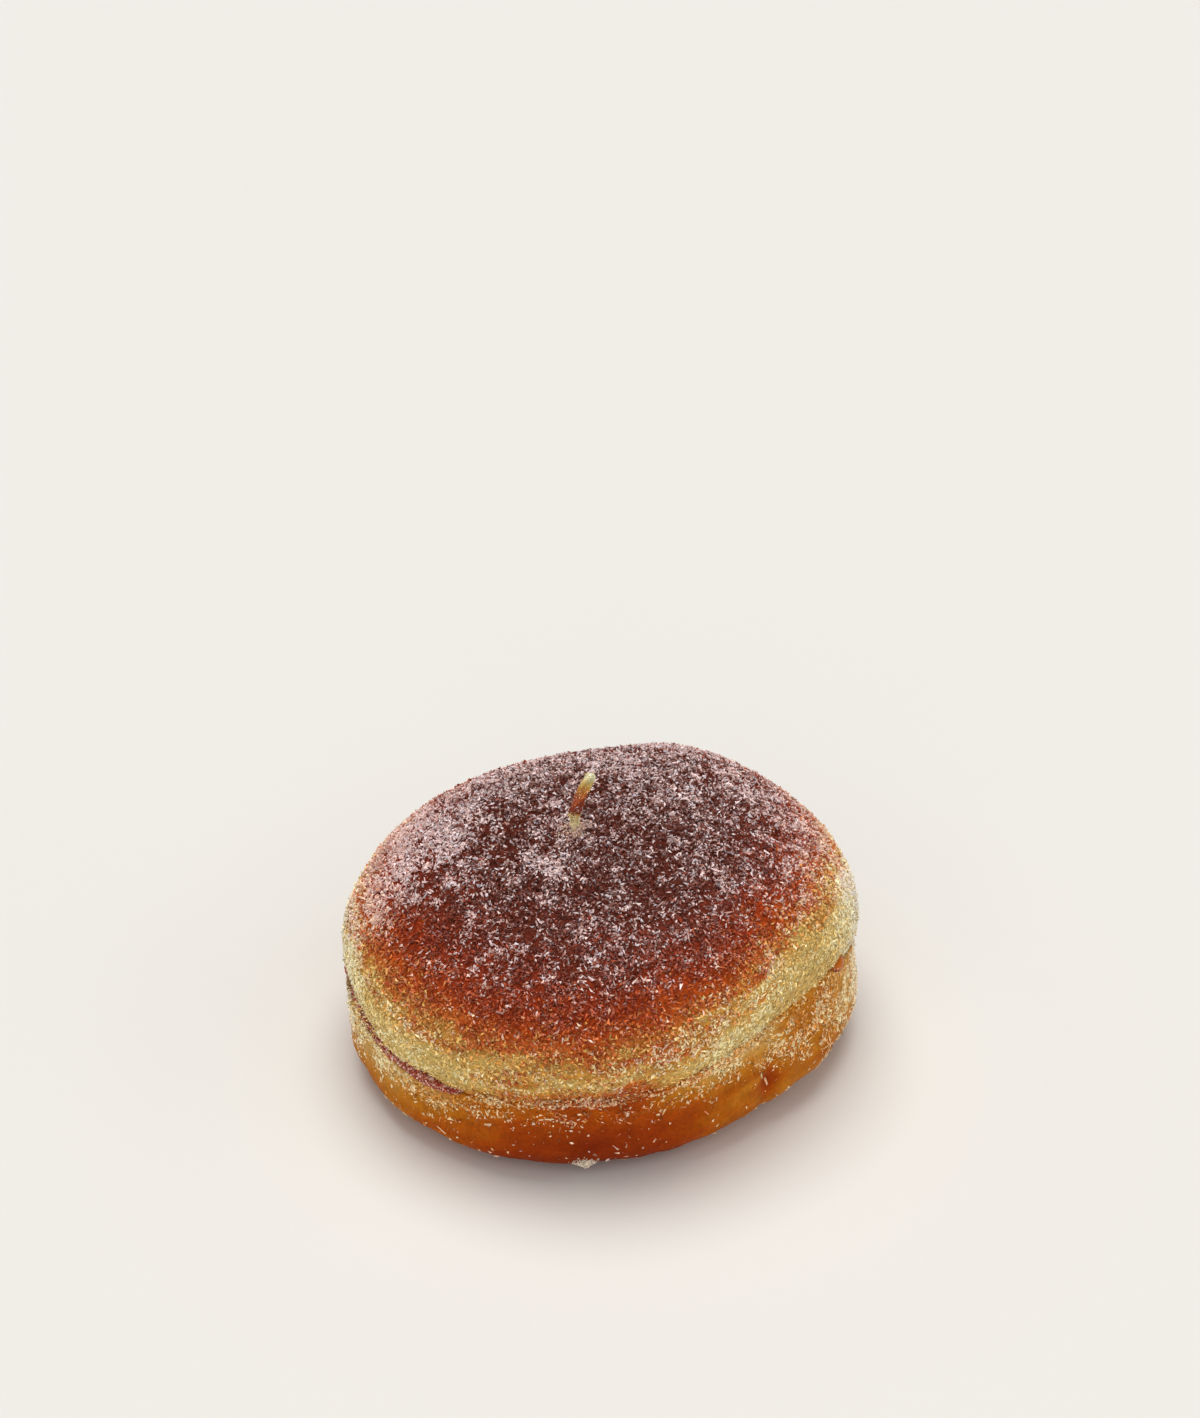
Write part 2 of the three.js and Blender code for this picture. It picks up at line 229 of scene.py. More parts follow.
@dataclass(frozen=True)
class DoughnutShape:
    """The surfaces of the two halves and of the jelly between them, in millimetres.

    A tuck is how far a lip turns in from its half's widest line. Lip waves are each a number of
    crests, a height and a start in radians. Level lips run straight instead of curling in.
    """

    top: Ring = Ring(43.54, ((1.14, 72), (2.68, 34.7), (0.89, 33.5), (0.36, 11.7)))
    base: Ring = Ring(42.66, ((1.71, 64.3), (2.67, 27.4), (0.45, 16.9), (0.33, 2.5)))
    crease: Ring = Ring(18.96, ((2.14, -6), (1.47, -42.9), (0.83, -43.8), (1.0, -22.8), (0.63, -17.6)))
    widest_above_crease: float = 4.43
    dome_rise: float = 23.87
    dome_plan_power: float = 2.3
    dome_rise_power: float = 2.1
    widest_share: float = 0.43
    foot_share: float = 0.66
    edge_plan_power: float = 2.13
    edge_rise_power: float = 2.21
    top_tuck: Belt = Belt((
        (0, 1.0), (20, 1.6), (150, 1.6), (172, 0.6), (184, 0.75), (188, 0.85), (192, 0.95), (196, 1.0),
        (202, 1.15), (208, 1.5), (216, 1.85), (242, 1.8), (266, 1.8), (290, 1.4), (314, 0.9), (340, 0.6),
        (350, 0.7),
    ))
    base_tuck: Belt = Belt((
        (0, 1.15), (20, 1.5), (150, 1.5), (176, 0.1), (186, -0.25), (196, -0.15), (208, 0.25), (242, 0.3),
        (254, -0.1), (266, -0.45), (278, -0.8), (290, -0.8), (298, -0.55), (306, -0.2), (314, 0.3),
        (322, 0.75), (330, 1.2), (338, 1.5), (350, 1.3),
    ))
    level_lips: Belt = Belt(((20, 0), (150, 0), (172, 1), (350, 1)))
    lip_bend: Belt = Belt((
        (8, 0.9), (20, 1.6), (150, 1.6), (176, 0.8), (202, 0.8), (216, 1.6), (342, 1.6), (352, 0.9),
    ))
    valley: Stretch = Stretch(306, 26, 0.6)
    pinch: Stretch = Stretch(198, 12, 1.0)
    lip_waves: tuple[tuple[int, float, float], ...] = (
        (19, 0.16, 0), (31, 0.16, 3), (47, 0.12, 1), (71, 0.09, 2),
    )
    wavier: Stretch = Stretch(282, 50, 0.3)
    wave_reach: float = 2.6
    closed_gap: float = 0.25
    nearly_level: float = 0.9
    gapes: tuple[Stretch, ...] = (
        Stretch(187, 10, 1.9),
        Stretch(203, 10, 1.5),
        Stretch(225.5, 10.5, 2.1),
        Stretch(349.4, 3.4, 2.9),
        Stretch(357.5, 3.0, 0.3),
    )
    dents: tuple[Dent, ...] = (Dent(319.5, 10.5, 2.4, 6.5, 1.5), Dent(296, 10.4, 1.2, 2.6, 0.7))
    clearance: float = 0.3
    jelly_thickness: float = 2.6
    space_widens_over: float = 6
    jelly_inset: float = 4
    jelly_proud: Belt = Belt((
        (180, 0.05), (194, 0.05), (205, 0.3), (226, 0.5), (342, 0.8), (348, 1.1), (353, 0.1), (4, 0),
    ))
    jelly_edge_round: float = 1.6
    jelly_clearance: float = 0.06
    jelly_shows_from: float = 0.1
    jelly_shows_over: float = 0.5

    def gap(self, angle: Array) -> Array:
        """Height of the open crease."""
        closed = self.closed_gap * (1 - self.nearly_level * self.level_lips.at(angle))
        return closed + sum(gape.at(angle) for gape in self.gapes)

    def top_out(self, angle: Array) -> Array:
        """Radius of the top's widest line, which is pinched in on one side."""
        return self.top.at(angle) - self.pinch.at(angle)

    def top_lip(self, angle: Array) -> Array:
        """Radius of the top's lip, which runs further in along the crease's valley."""
        return self.top_out(angle) - self.top_tuck.at(angle) - self.valley.at(angle)

    def base_lip(self, angle: Array) -> Array:
        """Radius of the base's lip."""
        return self.base.at(angle) - self.base_tuck.at(angle) - self.valley.at(angle)

    def waved(self, points: Array, away: Array) -> Array:
        """Moves points near the crease up and down, so that the lips run unevenly.

        Args:
            points: Points, in millimetres.
            away: How far each is from the crease.

        Returns:
            The moved points.
        """
        angle = direction(points)
        wave = sum(height * np.cos(crests * angle + start) for crests, height, start in self.lip_waves)
        lift = wave * (1 + self.wavier.at(angle)) * bell(away, self.wave_reach)
        return points + lift[..., None] * np.array([0.0, 0.0, 1.0])

    def narrow_lip(self, angle: Array) -> Array:
        """Radius of whichever lip is further in."""
        return np.minimum(self.top_lip(angle), self.base_lip(angle))

    def crease_height(self, angle: Array, share: Array) -> Array:
        """Height of a surface that follows the crease, at a share of the way out to it."""
        return lerp(self.crease.mean, self.crease.at(angle), share**2)

    def middle_height(self, angle: Array, radius: Array) -> Array:
        """Height midway between the halves."""
        return self.crease_height(angle, np.minimum(1, radius / self.narrow_lip(angle)))

    def half_space(self, angle: Array, depth: Array) -> Array:
        """Half the space between the halves, at a depth in from the lip."""
        deep = self.jelly_thickness / 2 + self.clearance
        return lerp(self.gap(angle) / 2, deep, np.clip(depth / self.space_widens_over, 0, 1))

    def top_inner(self, angle: Array, share: Array) -> Array:
        """The face that the top turns to the jelly."""
        return self._inner(self.top_lip(angle), 1, angle, share)

    def base_inner(self, angle: Array, share: Array) -> Array:
        """The face that the base turns to the jelly."""
        return self._inner(self.base_lip(angle), -1, angle, share)

    def _inner(self, lip: Array, side: int, angle: Array, share: Array) -> Array:
        """A face that a half turns to the jelly, from the axis (share 0) to near the lip (1)."""
        radius = share * (lip - self.space_widens_over)
        height = self.middle_height(angle, radius) + side * self.half_space(angle, lip - radius)
        return polar(radius, angle, height)

    def top_lip_point(self, angle: Array, turn: Array) -> Array:
        """The top's lower lip, from the crease (a quarter turn) to its widest line (0)."""
        crease, level, share = self.crease.at(angle), self.level_lips.at(angle), turn / QUARTER
        inward = lerp(1 - np.cos(turn), share ** self.lip_bend.at(angle), level)
        down = lerp(np.sin(turn), share, level)
        edge = crease + self.gap(angle) / 2
        radius = lerp(self.top_out(angle), self.top_lip(angle), inward)
        return polar(radius, angle, lerp(crease + self.widest_above_crease, edge, down))

    def dome_point(self, angle: Array, turn: Array) -> Array:
        """The dome, from its widest line (a quarter turn) to the apex (0)."""
        share = np.sin(turn) ** (2 / self.dome_plan_power)
        rise = self.dome_rise * np.abs(np.cos(turn)) ** (2 / self.dome_rise_power)
        height = self.crease_height(angle, share) + self.widest_above_crease + rise
        return polar(self.top_out(angle) * share, angle, height)

    def _dent(self, angle: Array, height: Array) -> Array:
        """Depth of the dents in the base's side."""
        total = 0.0
        for dent in self.dents:
            spread = np.degrees(dent.across / self.base.mean)
            level = bell(height - dent.height, dent.tall)
            total = total + dent.depth * level * near(angle, dent.at, spread)
        return total

    def base_lip_point(self, angle: Array, turn: Array) -> Array:
        """The base's upper lip, from its widest line (a quarter turn) to the crease (0)."""
        crease, level, share = self.crease.at(angle), self.level_lips.at(angle), 1 - turn / QUARTER
        inward = lerp(1 - np.sin(turn), share**2, level)
        up = lerp(np.cos(turn), share, level)
        height = lerp(self.widest_share * crease, crease - self.gap(angle) / 2, up)
        radius = lerp(self.base.at(angle), self.base_lip(angle), inward)
        return polar(radius - self._dent(angle, height) * np.sin(turn), angle, height)

    def base_edge_point(self, angle: Array, turn: Array) -> Array:
        """The base's lower edge, from the foot's rim (a quarter turn) to its widest line (0)."""
        full = self.base.at(angle)
        widest = self.widest_share * self.crease.at(angle)
        height = widest * (1 - np.sin(turn) ** (2 / self.edge_rise_power))
        bulge = np.abs(np.cos(turn))
        radius = lerp(self.foot_share * full, full, bulge ** (2 / self.edge_plan_power))
        return polar(radius - self._dent(angle, height) * bulge, angle, height)

    def foot_point(self, angle: Array, share: Array) -> Array:
        """The flat spot that the doughnut stands on, from the middle (share 0) to its rim (1)."""
        return polar(share * self.foot_share * self.base.at(angle), angle, 0 * angle * share)

    def jelly_radius(self, angle: Array) -> Array:
        """How far out the jelly reaches: it swells out of the lips where the crease gapes."""
        shown = ease((self.gap(angle) - self.closed_gap - self.jelly_shows_from) / self.jelly_shows_over)
        out = self.top_lip(angle) + self.jelly_proud.at(angle)
        return lerp(self.narrow_lip(angle) - self.jelly_inset, out, shown)

    def _jelly_half(self, angle: Array, radius: Array) -> Array:
        """Half the jelly's thickness."""
        return self.half_space(angle, self.narrow_lip(angle) - radius) - self.jelly_clearance

    def jelly_face(self, angle: Array, share: Array, side: int) -> Array:
        """The jelly's upper face (side 1) or its underside (-1), from the axis (share 0) out."""
        radius = share * (self.narrow_lip(angle) - self.space_widens_over)
        height = self.middle_height(angle, radius) + side * self._jelly_half(angle, radius)
        return polar(radius, angle, height)

    def jelly_edge(self, angle: Array, turn: Array) -> Array:
        """The jelly's rounded edge, from its underside (-a quarter turn) to its top (a quarter turn)."""
        inner = self.jelly_radius(angle) - self.jelly_edge_round
        radius = inner + self.jelly_edge_round * np.cos(turn)
        height = self.middle_height(angle, radius) + self._jelly_half(angle, inner) * np.sin(turn)
        return polar(radius, angle, height)

    def apex_above_crease(self, angle: Array) -> Array:
        """How high the dome's apex is above the crease in a direction."""
        return self.crease.mean + self.widest_above_crease + self.dome_rise - self.crease.at(angle)

    def axis_in_frame(self, columns: int = 72) -> Array:
        """Works out where the doughnut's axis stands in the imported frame.

        Args:
            columns: How many directions the jelly's solid was made with.

        Returns:
            Its place in millimetres, from the jelly's box there and the same outline here.
        """
        outline = self.jelly_edge(directions(columns), np.zeros(columns))[:, :2]
        low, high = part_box("jelly")
        packed = (np.array(low) + np.array(high))[:2] / 2 / MM
        return np.array([*(packed - (outline.min(0) + outline.max(0)) / 2), 0.0])


SHAPE = DoughnutShape()
AXIS = SHAPE.axis_in_frame()


# ---- Meshes


@dataclass
class Spots:
    """Places on a surface, the way out of it there, and what the surface says about each."""

    place: Array
    out: Array
    facts: Facts


class Skin:
    """A surface made of rows of points that run round the doughnut."""

    def __init__(self, points: Array, facts: Facts) -> None:
        """Keeps the rows and works out the way out of the surface at each point.

        Args:
            points: Rows by columns by 3, in millimetres, so that a row followed by the next leads
                round the surface from its first pole to its last.
            facts: Named numbers, one for each point.
        """
        self.points = points
        self.facts = facts
        along = np.roll(points, -1, 1) - np.roll(points, 1, 1)
        across = np.gradient(points, axis=0)
        out = np.cross(along, across)
        length = np.linalg.norm(out, axis=-1, keepdims=True)
        self.out = np.where(length > 1e-9, out / np.maximum(length, 1e-9), [0.0, 0.0, 1.0])

    def _corners(self, values: Array) -> tuple[Array, Array, Array, Array]:
        """Values at the four corners of every patch."""
        after = np.roll(values, -1, 1)
        return values[:-1], after[:-1], after[1:], values[1:]

    def scatter(self, count: int, cover: Array, rng: np.random.Generator) -> Spots:
        """Picks places at random.

        Args:
            count: How many.
            cover: How likely each point of the surface is to be picked, for its area.
            rng: Where the random numbers come from.

        Returns:
            The places.
        """
        a, b, c, d = self._corners(self.points)
        area = np.linalg.norm(np.cross(c - a, d - b), axis=-1) / 2
        weight = (area * sum(self._corners(cover)) / 4).ravel()
        reach = np.cumsum(weight)
        patch = np.searchsorted(reach, rng.uniform(0, reach[-1], count))
        u, v = rng.uniform(0, 1, (2, count))
        shares = ((1 - u) * (1 - v), u * (1 - v), u * v, (1 - u) * v)

        def read(values: Array) -> Array:
            """Values at the picked places."""
            flat = [corner.reshape(len(weight), -1)[patch] for corner in self._corners(values)]
            return sum(corner * share[:, None] for corner, share in zip(flat, shares))

        out = read(self.out)
        facts = {name: read(values)[:, 0] for name, values in self.facts.items()}
        return Spots(read(self.points), out / np.linalg.norm(out, axis=1, keepdims=True), facts)

    def mesh(self, name: str, look: Material) -> bpy.types.Object:
        """Makes the surface's closed mesh, in which each pole is one point.

        Args:
            name: The piece's name.
            look: Its material.

        Returns:
            The piece.
        """
        rows, columns = self.points.shape[:2]
        inner = self.points[1:-1].reshape(-1, 3)
        places = np.concatenate([self.points[:1, 0], inner, self.points[-1:, 0]])
        ring = np.arange(columns)
        after = (ring + 1) % columns
        first = 1 + columns * np.arange(rows - 3)[:, None]
        second = first + columns
        quads = np.stack([first + ring, first + after, second + after, second + ring], -1)
        last = 1 + columns * (rows - 3)
        start = np.stack([0 * ring, 1 + after, 1 + ring], -1)
        end = np.stack([0 * ring + len(places) - 1, last + ring, last + after], -1)
        faces = [quads.reshape(-1, 4), start, end]
        values = {
            key: np.concatenate([fact[:1, 0], fact[1:-1].ravel(), fact[-1:, 0]])
            for key, fact in self.facts.items()
        }
        return piece(name, places, faces, values, look, smooth=True)


def piece(
    name: str, places: Array, faces: Sequence[Array], facts: Facts, look: Material, smooth: bool
) -> bpy.types.Object:
    """Makes an object that rides on the doughnut's body.

    Args:
        name: The piece's name.
        places: The vertices, in millimetres from the doughnut's axis.
        faces: Arrays of faces, each with its own number of corners.
        facts: Named numbers, one for each vertex, that the finish reads.
        look: Its material.
        smooth: Whether the faces are shaded smooth.

    Returns:
        The object.
    """
    mesh = bpy.data.meshes.new(name)
    corners = np.concatenate([block.ravel() for block in faces]).astype(np.int32)
    counts = np.concatenate([np.full(len(block), block.shape[1]) for block in faces])
    mesh.vertices.add(len(places))
    mesh.vertices.foreach_set("co", ((places + AXIS) * MM).astype(np.float32).ravel())
    mesh.loops.add(len(corners))
    mesh.loops.foreach_set("vertex_index", corners)
    mesh.polygons.add(len(counts))
    mesh.polygons.foreach_set("loop_start", (np.cumsum(counts) - counts).astype(np.int32))
    mesh.polygons.foreach_set("use_smooth", np.full(len(counts), smooth))
    for key, values in facts.items():
        layer = mesh.attributes.new(key, "FLOAT", "POINT")
        layer.data.foreach_set("value", values.astype(np.float32))
    mesh.update(calc_edges=True)
    mesh.materials.append(look)
    made = bpy.data.objects.new(name, mesh)
    bpy.context.scene.collection.objects.link(made)
    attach(made, BODY)
    LOG.info("%s: %d faces", name, len(counts))
    return made


# ---- Finishes

Colour = tuple[float, float, float]
Stops = tuple[tuple[float, Colour], ...]


def seen(colour: Colour) -> tuple[float, float, float, float]:
    """A colour given as a screen shows it, 0 to 255, as the linear colour that a shader takes."""
    share = np.array(colour) / 255
    linear = np.where(share <= 0.04045, share / 12.92, ((share + 0.055) / 1.055) ** 2.4)
    return (*(float(x) for x in linear), 1.0)


class Recipe:
    """A material's nodes, added one by one."""

    NOISE_KEEPS = (0.3, 0.7)

    def __init__(self, name: str) -> None:
        """Starts an empty material."""
        self.material = bpy.data.materials.new(name)
        self.material.use_nodes = True
        self.tree = self.material.node_tree
        self.tree.nodes.clear()
        self.place = self.node("ShaderNodeTexCoord", {}).outputs["Object"]

    def node(self, kind: str, inputs: dict[str | int, object], **settings: object) -> bpy.types.Node:
        """Adds a node.

        Args:
            kind: Blender's name for the kind of node.
            inputs: A value or another node's output for each named or numbered input.
            **settings: The node's own settings.

        Returns:
            The node.
        """
        made = self.tree.nodes.new(kind)
        for key, value in settings.items():
            setattr(made, key, value)
        for key, value in inputs.items():
            if isinstance(value, Socket):
                self.tree.links.new(value, made.inputs[key])
            else:
                made.inputs[key].default_value = value
        return made

    def fact(self, name: str) -> Socket:
        """A number that the mesh carries."""
        return self.node("ShaderNodeAttribute", {}, attribute_name=name).outputs["Fac"]

    def mottle(self, size: float, detail: float = 3.0) -> Socket:
        """Noise from 0 to 1 with lumps of a size in millimetres."""
        inputs = {"Vector": self.place, "Scale": 1 / (size * MM), "Detail": detail}
        return self.node("ShaderNodeTexNoise", inputs).outputs["Fac"]

    def uneven(self, size: float, low: float, high: float, detail: float = 3.0) -> Socket:
        """Noise with lumps of a size in millimetres, spread between two values."""
        return self.ranged(self.mottle(size, detail), low, high)

    def maths(self, operation: str, a: object, b: object, c: float = 0.0, clamp: bool = False) -> Socket:
        """Result of an operation on two numbers, and a third where it takes one."""
        made = self.node("ShaderNodeMath", {0: a, 1: b, 2: c}, operation=operation, use_clamp=clamp)
        return made.outputs[0]

    def ranged(self, value: object, low: float, high: float) -> Socket:
        """Noise, which keeps near its middle, spread between two values."""
        least, most = self.NOISE_KEEPS
        inputs = {"Value": value, "From Min": least, "From Max": most, "To Min": low, "To Max": high}
        return self.node("ShaderNodeMapRange", inputs).outputs[0]

    def ramp(self, value: object, stops: Stops) -> Socket:
        """Colour read from stops, each a position and a colour as a screen shows it."""
        made = self.node("ShaderNodeValToRGB", {"Fac": value})
        elements = made.color_ramp.elements
        while len(elements) < len(stops):
            elements.new(0.5)
        for element, (position, colour) in zip(elements, stops):
            element.position = position
            element.color = seen(colour)
        return made.outputs["Color"]

    def mix(self, share: object, a: object, b: object) -> Socket:
        """A share of one colour laid over another."""
        return self.node("ShaderNodeMix", {0: share, 6: a, 7: b}, data_type="RGBA").outputs[2]

    def scaled(self, colour: object, share: object) -> Socket:
        """A colour made darker or lighter."""
        return self.node("ShaderNodeVectorMath", {0: colour, "Scale": share}, operation="SCALE").outputs[0]

    def bump(self, height: object, depth: float, strength: float = 1.0) -> Socket:
        """Shading of a height from 0 to 1 that stands for a depth in millimetres."""
        inputs = {"Height": height, "Distance": depth * MM, "Strength": strength}
        return self.node("ShaderNodeBump", inputs).outputs["Normal"]

    def finish(self, inputs: dict[str | int, object]) -> Material:
        """Ends the material in a Principled shader with these inputs."""
        shader = self.node("ShaderNodeBsdfPrincipled", inputs)
        self.node("ShaderNodeOutputMaterial", {"Surface": shader.outputs[0]})
        return self.material


@dataclass(frozen=True)
class Bake:
    """How a half's crust colours as it browns, from the pale line (0) to the darkest part (1).

    The browning wanders up and down by a little in blotches of a size in millimetres.
    """

    stops: Stops
    wander: float = 0.05
    blotches: float = 6.0

    def tone(self, recipe: Recipe) -> Socket:
        """Adds the nodes that colour the crust.

        Args:
            recipe: The material to add them to.

        Returns:
            The crust's colour.
        """
        broad = recipe.uneven(self.blotches, -self.wander, self.wander)
        brown = recipe.maths("ADD", recipe.fact("brown"), broad, clamp=True)
        return recipe.ramp(brown, self.stops)


TOP_BAKE = Bake((
    (0.0, (208, 172, 100)), (0.12, (214, 186, 112)), (0.22, (208, 168, 90)), (0.29, (196, 138, 58)),
    (0.36, (190, 108, 46)), (0.46, (178, 77, 24)), (0.58, (148, 52, 20)), (0.72, (114, 41, 22)),
    (0.86, (92, 38, 25)), (1.0, (80, 33, 22)),
))
BASE_BAKE = Bake((
    (0.0, (210, 172, 104)), (0.22, (204, 146, 64)), (0.36, (194, 122, 30)), (0.5, (182, 98, 14)),
    (0.64, (168, 72, 8)), (0.82, (148, 54, 7)), (1.0, (130, 42, 8)),
))
JELLY_TONE = Bake(stops=((0.0, (126, 36, 26)), (0.5, (154, 54, 38)), (1.0, (176, 76, 54))))


@dataclass(frozen=True)
class CrustFinish:
    """Browned, slightly greasy crust with a fine wrinkled skin."""

    name: str
    bake: Bake
    specks: float

    def make(self) -> Material:
        """Builds the material."""
        recipe = Recipe(self.name)
        pores = recipe.mottle(0.35, 4.0)
        patches = recipe.uneven(2.4, 0.85, 1.12)
        specks = recipe.uneven(0.55, -self.specks, self.specks)
        browned = recipe.maths("MULTIPLY_ADD", recipe.fact("brown"), 2.2, 0.15, clamp=True)
        shade = recipe.maths("MULTIPLY", patches, recipe.maths("MULTIPLY_ADD", specks, browned, 1.0))
        return recipe.finish(
            {
                "Base Color": recipe.scaled(self.bake.tone(recipe), shade),
                "Roughness": recipe.uneven(1.5, 0.42, 0.68),
                "Specular IOR Level": 0.04,
                "Normal": recipe.bump(pores, 0.12, 0.7),
            }
        )


@dataclass(frozen=True)
class SugarFinish:
    """Sugar grains: each lets through some of the crust's colour and shows some of its own white."""

    name: str
    bake: Bake
    tints: Stops
    whites: Stops
    # cool white, laid on some grains over dark crust and on the painted rim sheen
    cool: Colour = (226, 219, 225)

    def make(self) -> Material:
        """Builds the material."""
        recipe = Recipe(self.name)
        brown, frost, gain = (recipe.fact(name) for name in ("brown", "frost", "gain"))
        clear = recipe.scaled(self.bake.tone(recipe), gain)
        white = recipe.mix(frost, recipe.ramp(brown, self.tints), recipe.ramp(brown, self.whites))
        white = recipe.mix(recipe.fact("cool"), white, seen(self.cool))
        # the grain's lightness, which carries painted facet shading, also scales its white
        white = recipe.scaled(white, recipe.maths("MULTIPLY_ADD", gain, 0.45, 0.5))
        return recipe.finish(
            {
                "Base Color": recipe.mix(frost, clear, white),
                "Roughness": recipe.uneven(0.2, 0.18, 0.5, 2.0),
                "Specular IOR Level": 0.1,
                "IOR": 1.54,
                "Normal": recipe.bump(recipe.mottle(0.12, 2.0), 0.02, 0.5),
            }
        )


@dataclass(frozen=True)
class JellyFinish:
    """Glossy red jelly, darker where it is thick."""

    name: str = "jelly_red"
    thin: Colour = (196, 104, 20)
    stops: Stops = ((0.0, (130, 34, 22)), (0.5, (168, 56, 38)), (1.0, (198, 92, 68)))

    def make(self) -> Material:
        """Builds the material."""
        recipe = Recipe(self.name)
        lumps = recipe.mottle(1.3)
        thick = recipe.ramp(recipe.ranged(lumps, 0.0, 1.0), self.stops)
        return recipe.finish(
            {
                "Base Color": recipe.mix(recipe.fact("thin"), thick, seen(self.thin)),
                "Roughness": recipe.uneven(0.8, 0.12, 0.4),
                "Specular IOR Level": 0.15,
                "Normal": recipe.bump(lumps, 0.25, 0.8),
            }
        )


@dataclass(frozen=True)
class WickFinish:
    """Waxed cotton, pale at the foot, bare and pale at the tip and orange to red-brown between; its darkest
    band, at the bend, is partly the cord's own red-brown and partly painted shade under the bend.
    """

    name: str = "wick_cotton"
    # the dark band at 0.34 to 0.42 sits at the bend: partly the cord's own red-brown, partly painted shade
    # under the bend
    stops: Stops = (
        (0.0, (222, 206, 200)), (0.08, (220, 202, 168)), (0.2, (214, 188, 118)), (0.29, (200, 156, 84)),
        (0.34, (128, 52, 24)), (0.42, (138, 52, 20)), (0.56, (172, 74, 24)), (0.68, (194, 104, 36)),
        (0.78, (208, 150, 60)), (0.85, (216, 184, 102)), (0.92, (222, 214, 164)), (1.0, (232, 230, 200)),
    )

    def make(self) -> Material:
        """Builds the material."""
        recipe = Recipe(self.name)
        wander = recipe.uneven(0.9, -0.04, 0.04)
        height = recipe.maths("ADD", recipe.fact("height"), wander, clamp=True)
        # fibre noise plus painted shade in the grooves between the strands
        fibres_and_groove_shade = recipe.maths("ADD", recipe.mottle(0.18, 4.0), recipe.fact("strand"))
        shade = recipe.ranged(fibres_and_groove_shade, 0.78, 1.08)
        return recipe.finish(
            {
                "Base Color": recipe.scaled(recipe.ramp(height, self.stops), shade),
                "Roughness": recipe.uneven(0.5, 0.45, 0.8),
                "Normal": recipe.bump(recipe.mottle(0.15, 4.0), 0.12, 0.9),
            }
        )


@dataclass(frozen=True)
class FloorFinish:
    """Plain pale studio floor."""

    name: str = "floor_pale"
    colour: Colour = (230, 226, 219)

    def make(self) -> Material:
        """Builds the material."""
        recipe = Recipe(self.name)
        return recipe.finish({"Base Color": seen(self.colour), "Roughness": 0.9, "Specular IOR Level": 0.1})


# ---- Sugar grains


class GrainForm(Enum):
    """The forms that sugar breaks into: corner places, and the triangles between them."""

    CRYSTAL = (
        ((0.5, 0, 0), (-0.5, 0, 0), (0, 0.5, 0), (0, -0.5, 0), (0, 0, 0.5), (0, 0, -0.5)),
        ((0, 2, 4), (2, 1, 4), (1, 3, 4), (3, 0, 4), (2, 0, 5), (1, 2, 5), (3, 1, 5), (0, 3, 5)),
    )
    NEEDLE = (
        (
            (0.5, 0.4, -0.35), (0.5, -0.4, -0.35), (0.42, 0, 0.45), (-0.5, 0.4, -0.35), (-0.5, -0.4, -0.35),
            (-0.42, 0, 0.45),
        ),
        ((0, 2, 1), (3, 4, 5), (0, 1, 4), (0, 4, 3), (1, 2, 5), (1, 5, 4), (2, 0, 3), (2, 3, 5)),
    )
    SPLINTER = (
        ((0.5, 0.1, -0.3), (-0.45, 0.45, -0.3), (-0.4, -0.45, -0.3), (-0.05, 0, 0.5)),
        ((0, 2, 1), (0, 1, 3), (1, 2, 3), (2, 0, 3)),
    )

    @property
    def corners(self) -> Array:
        """Corner places of a grain one millimetre long, wide and thick."""
        return np.array(self.value[0], float)

    @property
    def triangles(self) -> Array:
        """Corner numbers of each triangle."""
        return np.array(self.value[1], int)


def facing(out: Array) -> Array:
    """Turns that take +Z to each outward direction by the shortest way."""
    x, y, z = out.T
    k = 1 / (1 + z)
    rows = [[1 - k * x * x, -k * x * y, x], [-k * x * y, 1 - k * y * y, y], [-x, -y, z]]
    return np.moveaxis(np.array(rows), -1, 0)


def turned(axis: int, angle: Array) -> Array:
    """Turns about one of the three axes, one for each angle."""
    c, s, o, i = np.cos(angle), np.sin(angle), 0 * angle, 1 + 0 * angle
    rows = {
        0: [[i, o, o], [o, c, -s], [o, s, c]],
        1: [[c, o, s], [o, i, o], [-s, o, c]],
        2: [[c, -s, o], [s, c, o], [o, o, i]],
    }[axis]
    return np.moveaxis(np.array(rows), -1, 0)


@dataclass(frozen=True)
class GrainKind:
    """One kind of sugar grain: its form and its range of sizes, in millimetres.

    Where the surface's fact "calm" is below LYING, grains only rock about their long side by up to
    ROCKS radians instead of lying any way up.
    """

    LYING = 0.8
    ROCKS = 0.35

    form: GrainForm
    length: tuple[float, float]
    width: tuple[float, float]
    flat: float = 0.8
    tilt: float = 0.5
    ragged: float = 0.25
    lift: tuple[float, float] = (-0.2, 0.9)
    long_few: float = 2.0
    whiter: float = 0.0

    def bodies(self, spots: Spots, rng: np.random.Generator) -> Array:
        """Makes the grains' corners.

        Args:
            spots: Where the grains lie.
            rng: Where the random numbers come from.

        Returns:
            Grains by corners by 3, in millimetres.
        """
        count = len(spots.place)
        length = lerp(*self.length, rng.uniform(0, 1, count) ** self.long_few)
        width = lerp(*self.width, rng.uniform(0, 1, count))
        thick = width * self.flat
        corners = self.form.corners * np.stack([length, width, thick], -1)[:, None]
        corners *= rng.uniform(1 - self.ragged, 1 + self.ragged, corners.shape)
        heading = rng.uniform(0, TURN, count)
        tilt = rng.normal(0, self.tilt, count)
        roll = rng.uniform(0, TURN, count)
        calm = spots.facts.get("calm", np.ones(count))
        corners[..., 2] *= calm[:, None]
        roll = np.where(calm < self.LYING, self.ROCKS * np.sin(roll), roll)
        turn = facing(spots.out) @ turned(2, heading) @ turned(1, tilt * calm) @ turned(0, roll)
        rise = lerp(*self.lift, rng.uniform(0, 1, count)) * thick * calm
        return np.einsum("nij,ncj->nci", turn, corners) + (spots.place + spots.out * rise[:, None])[:, None]


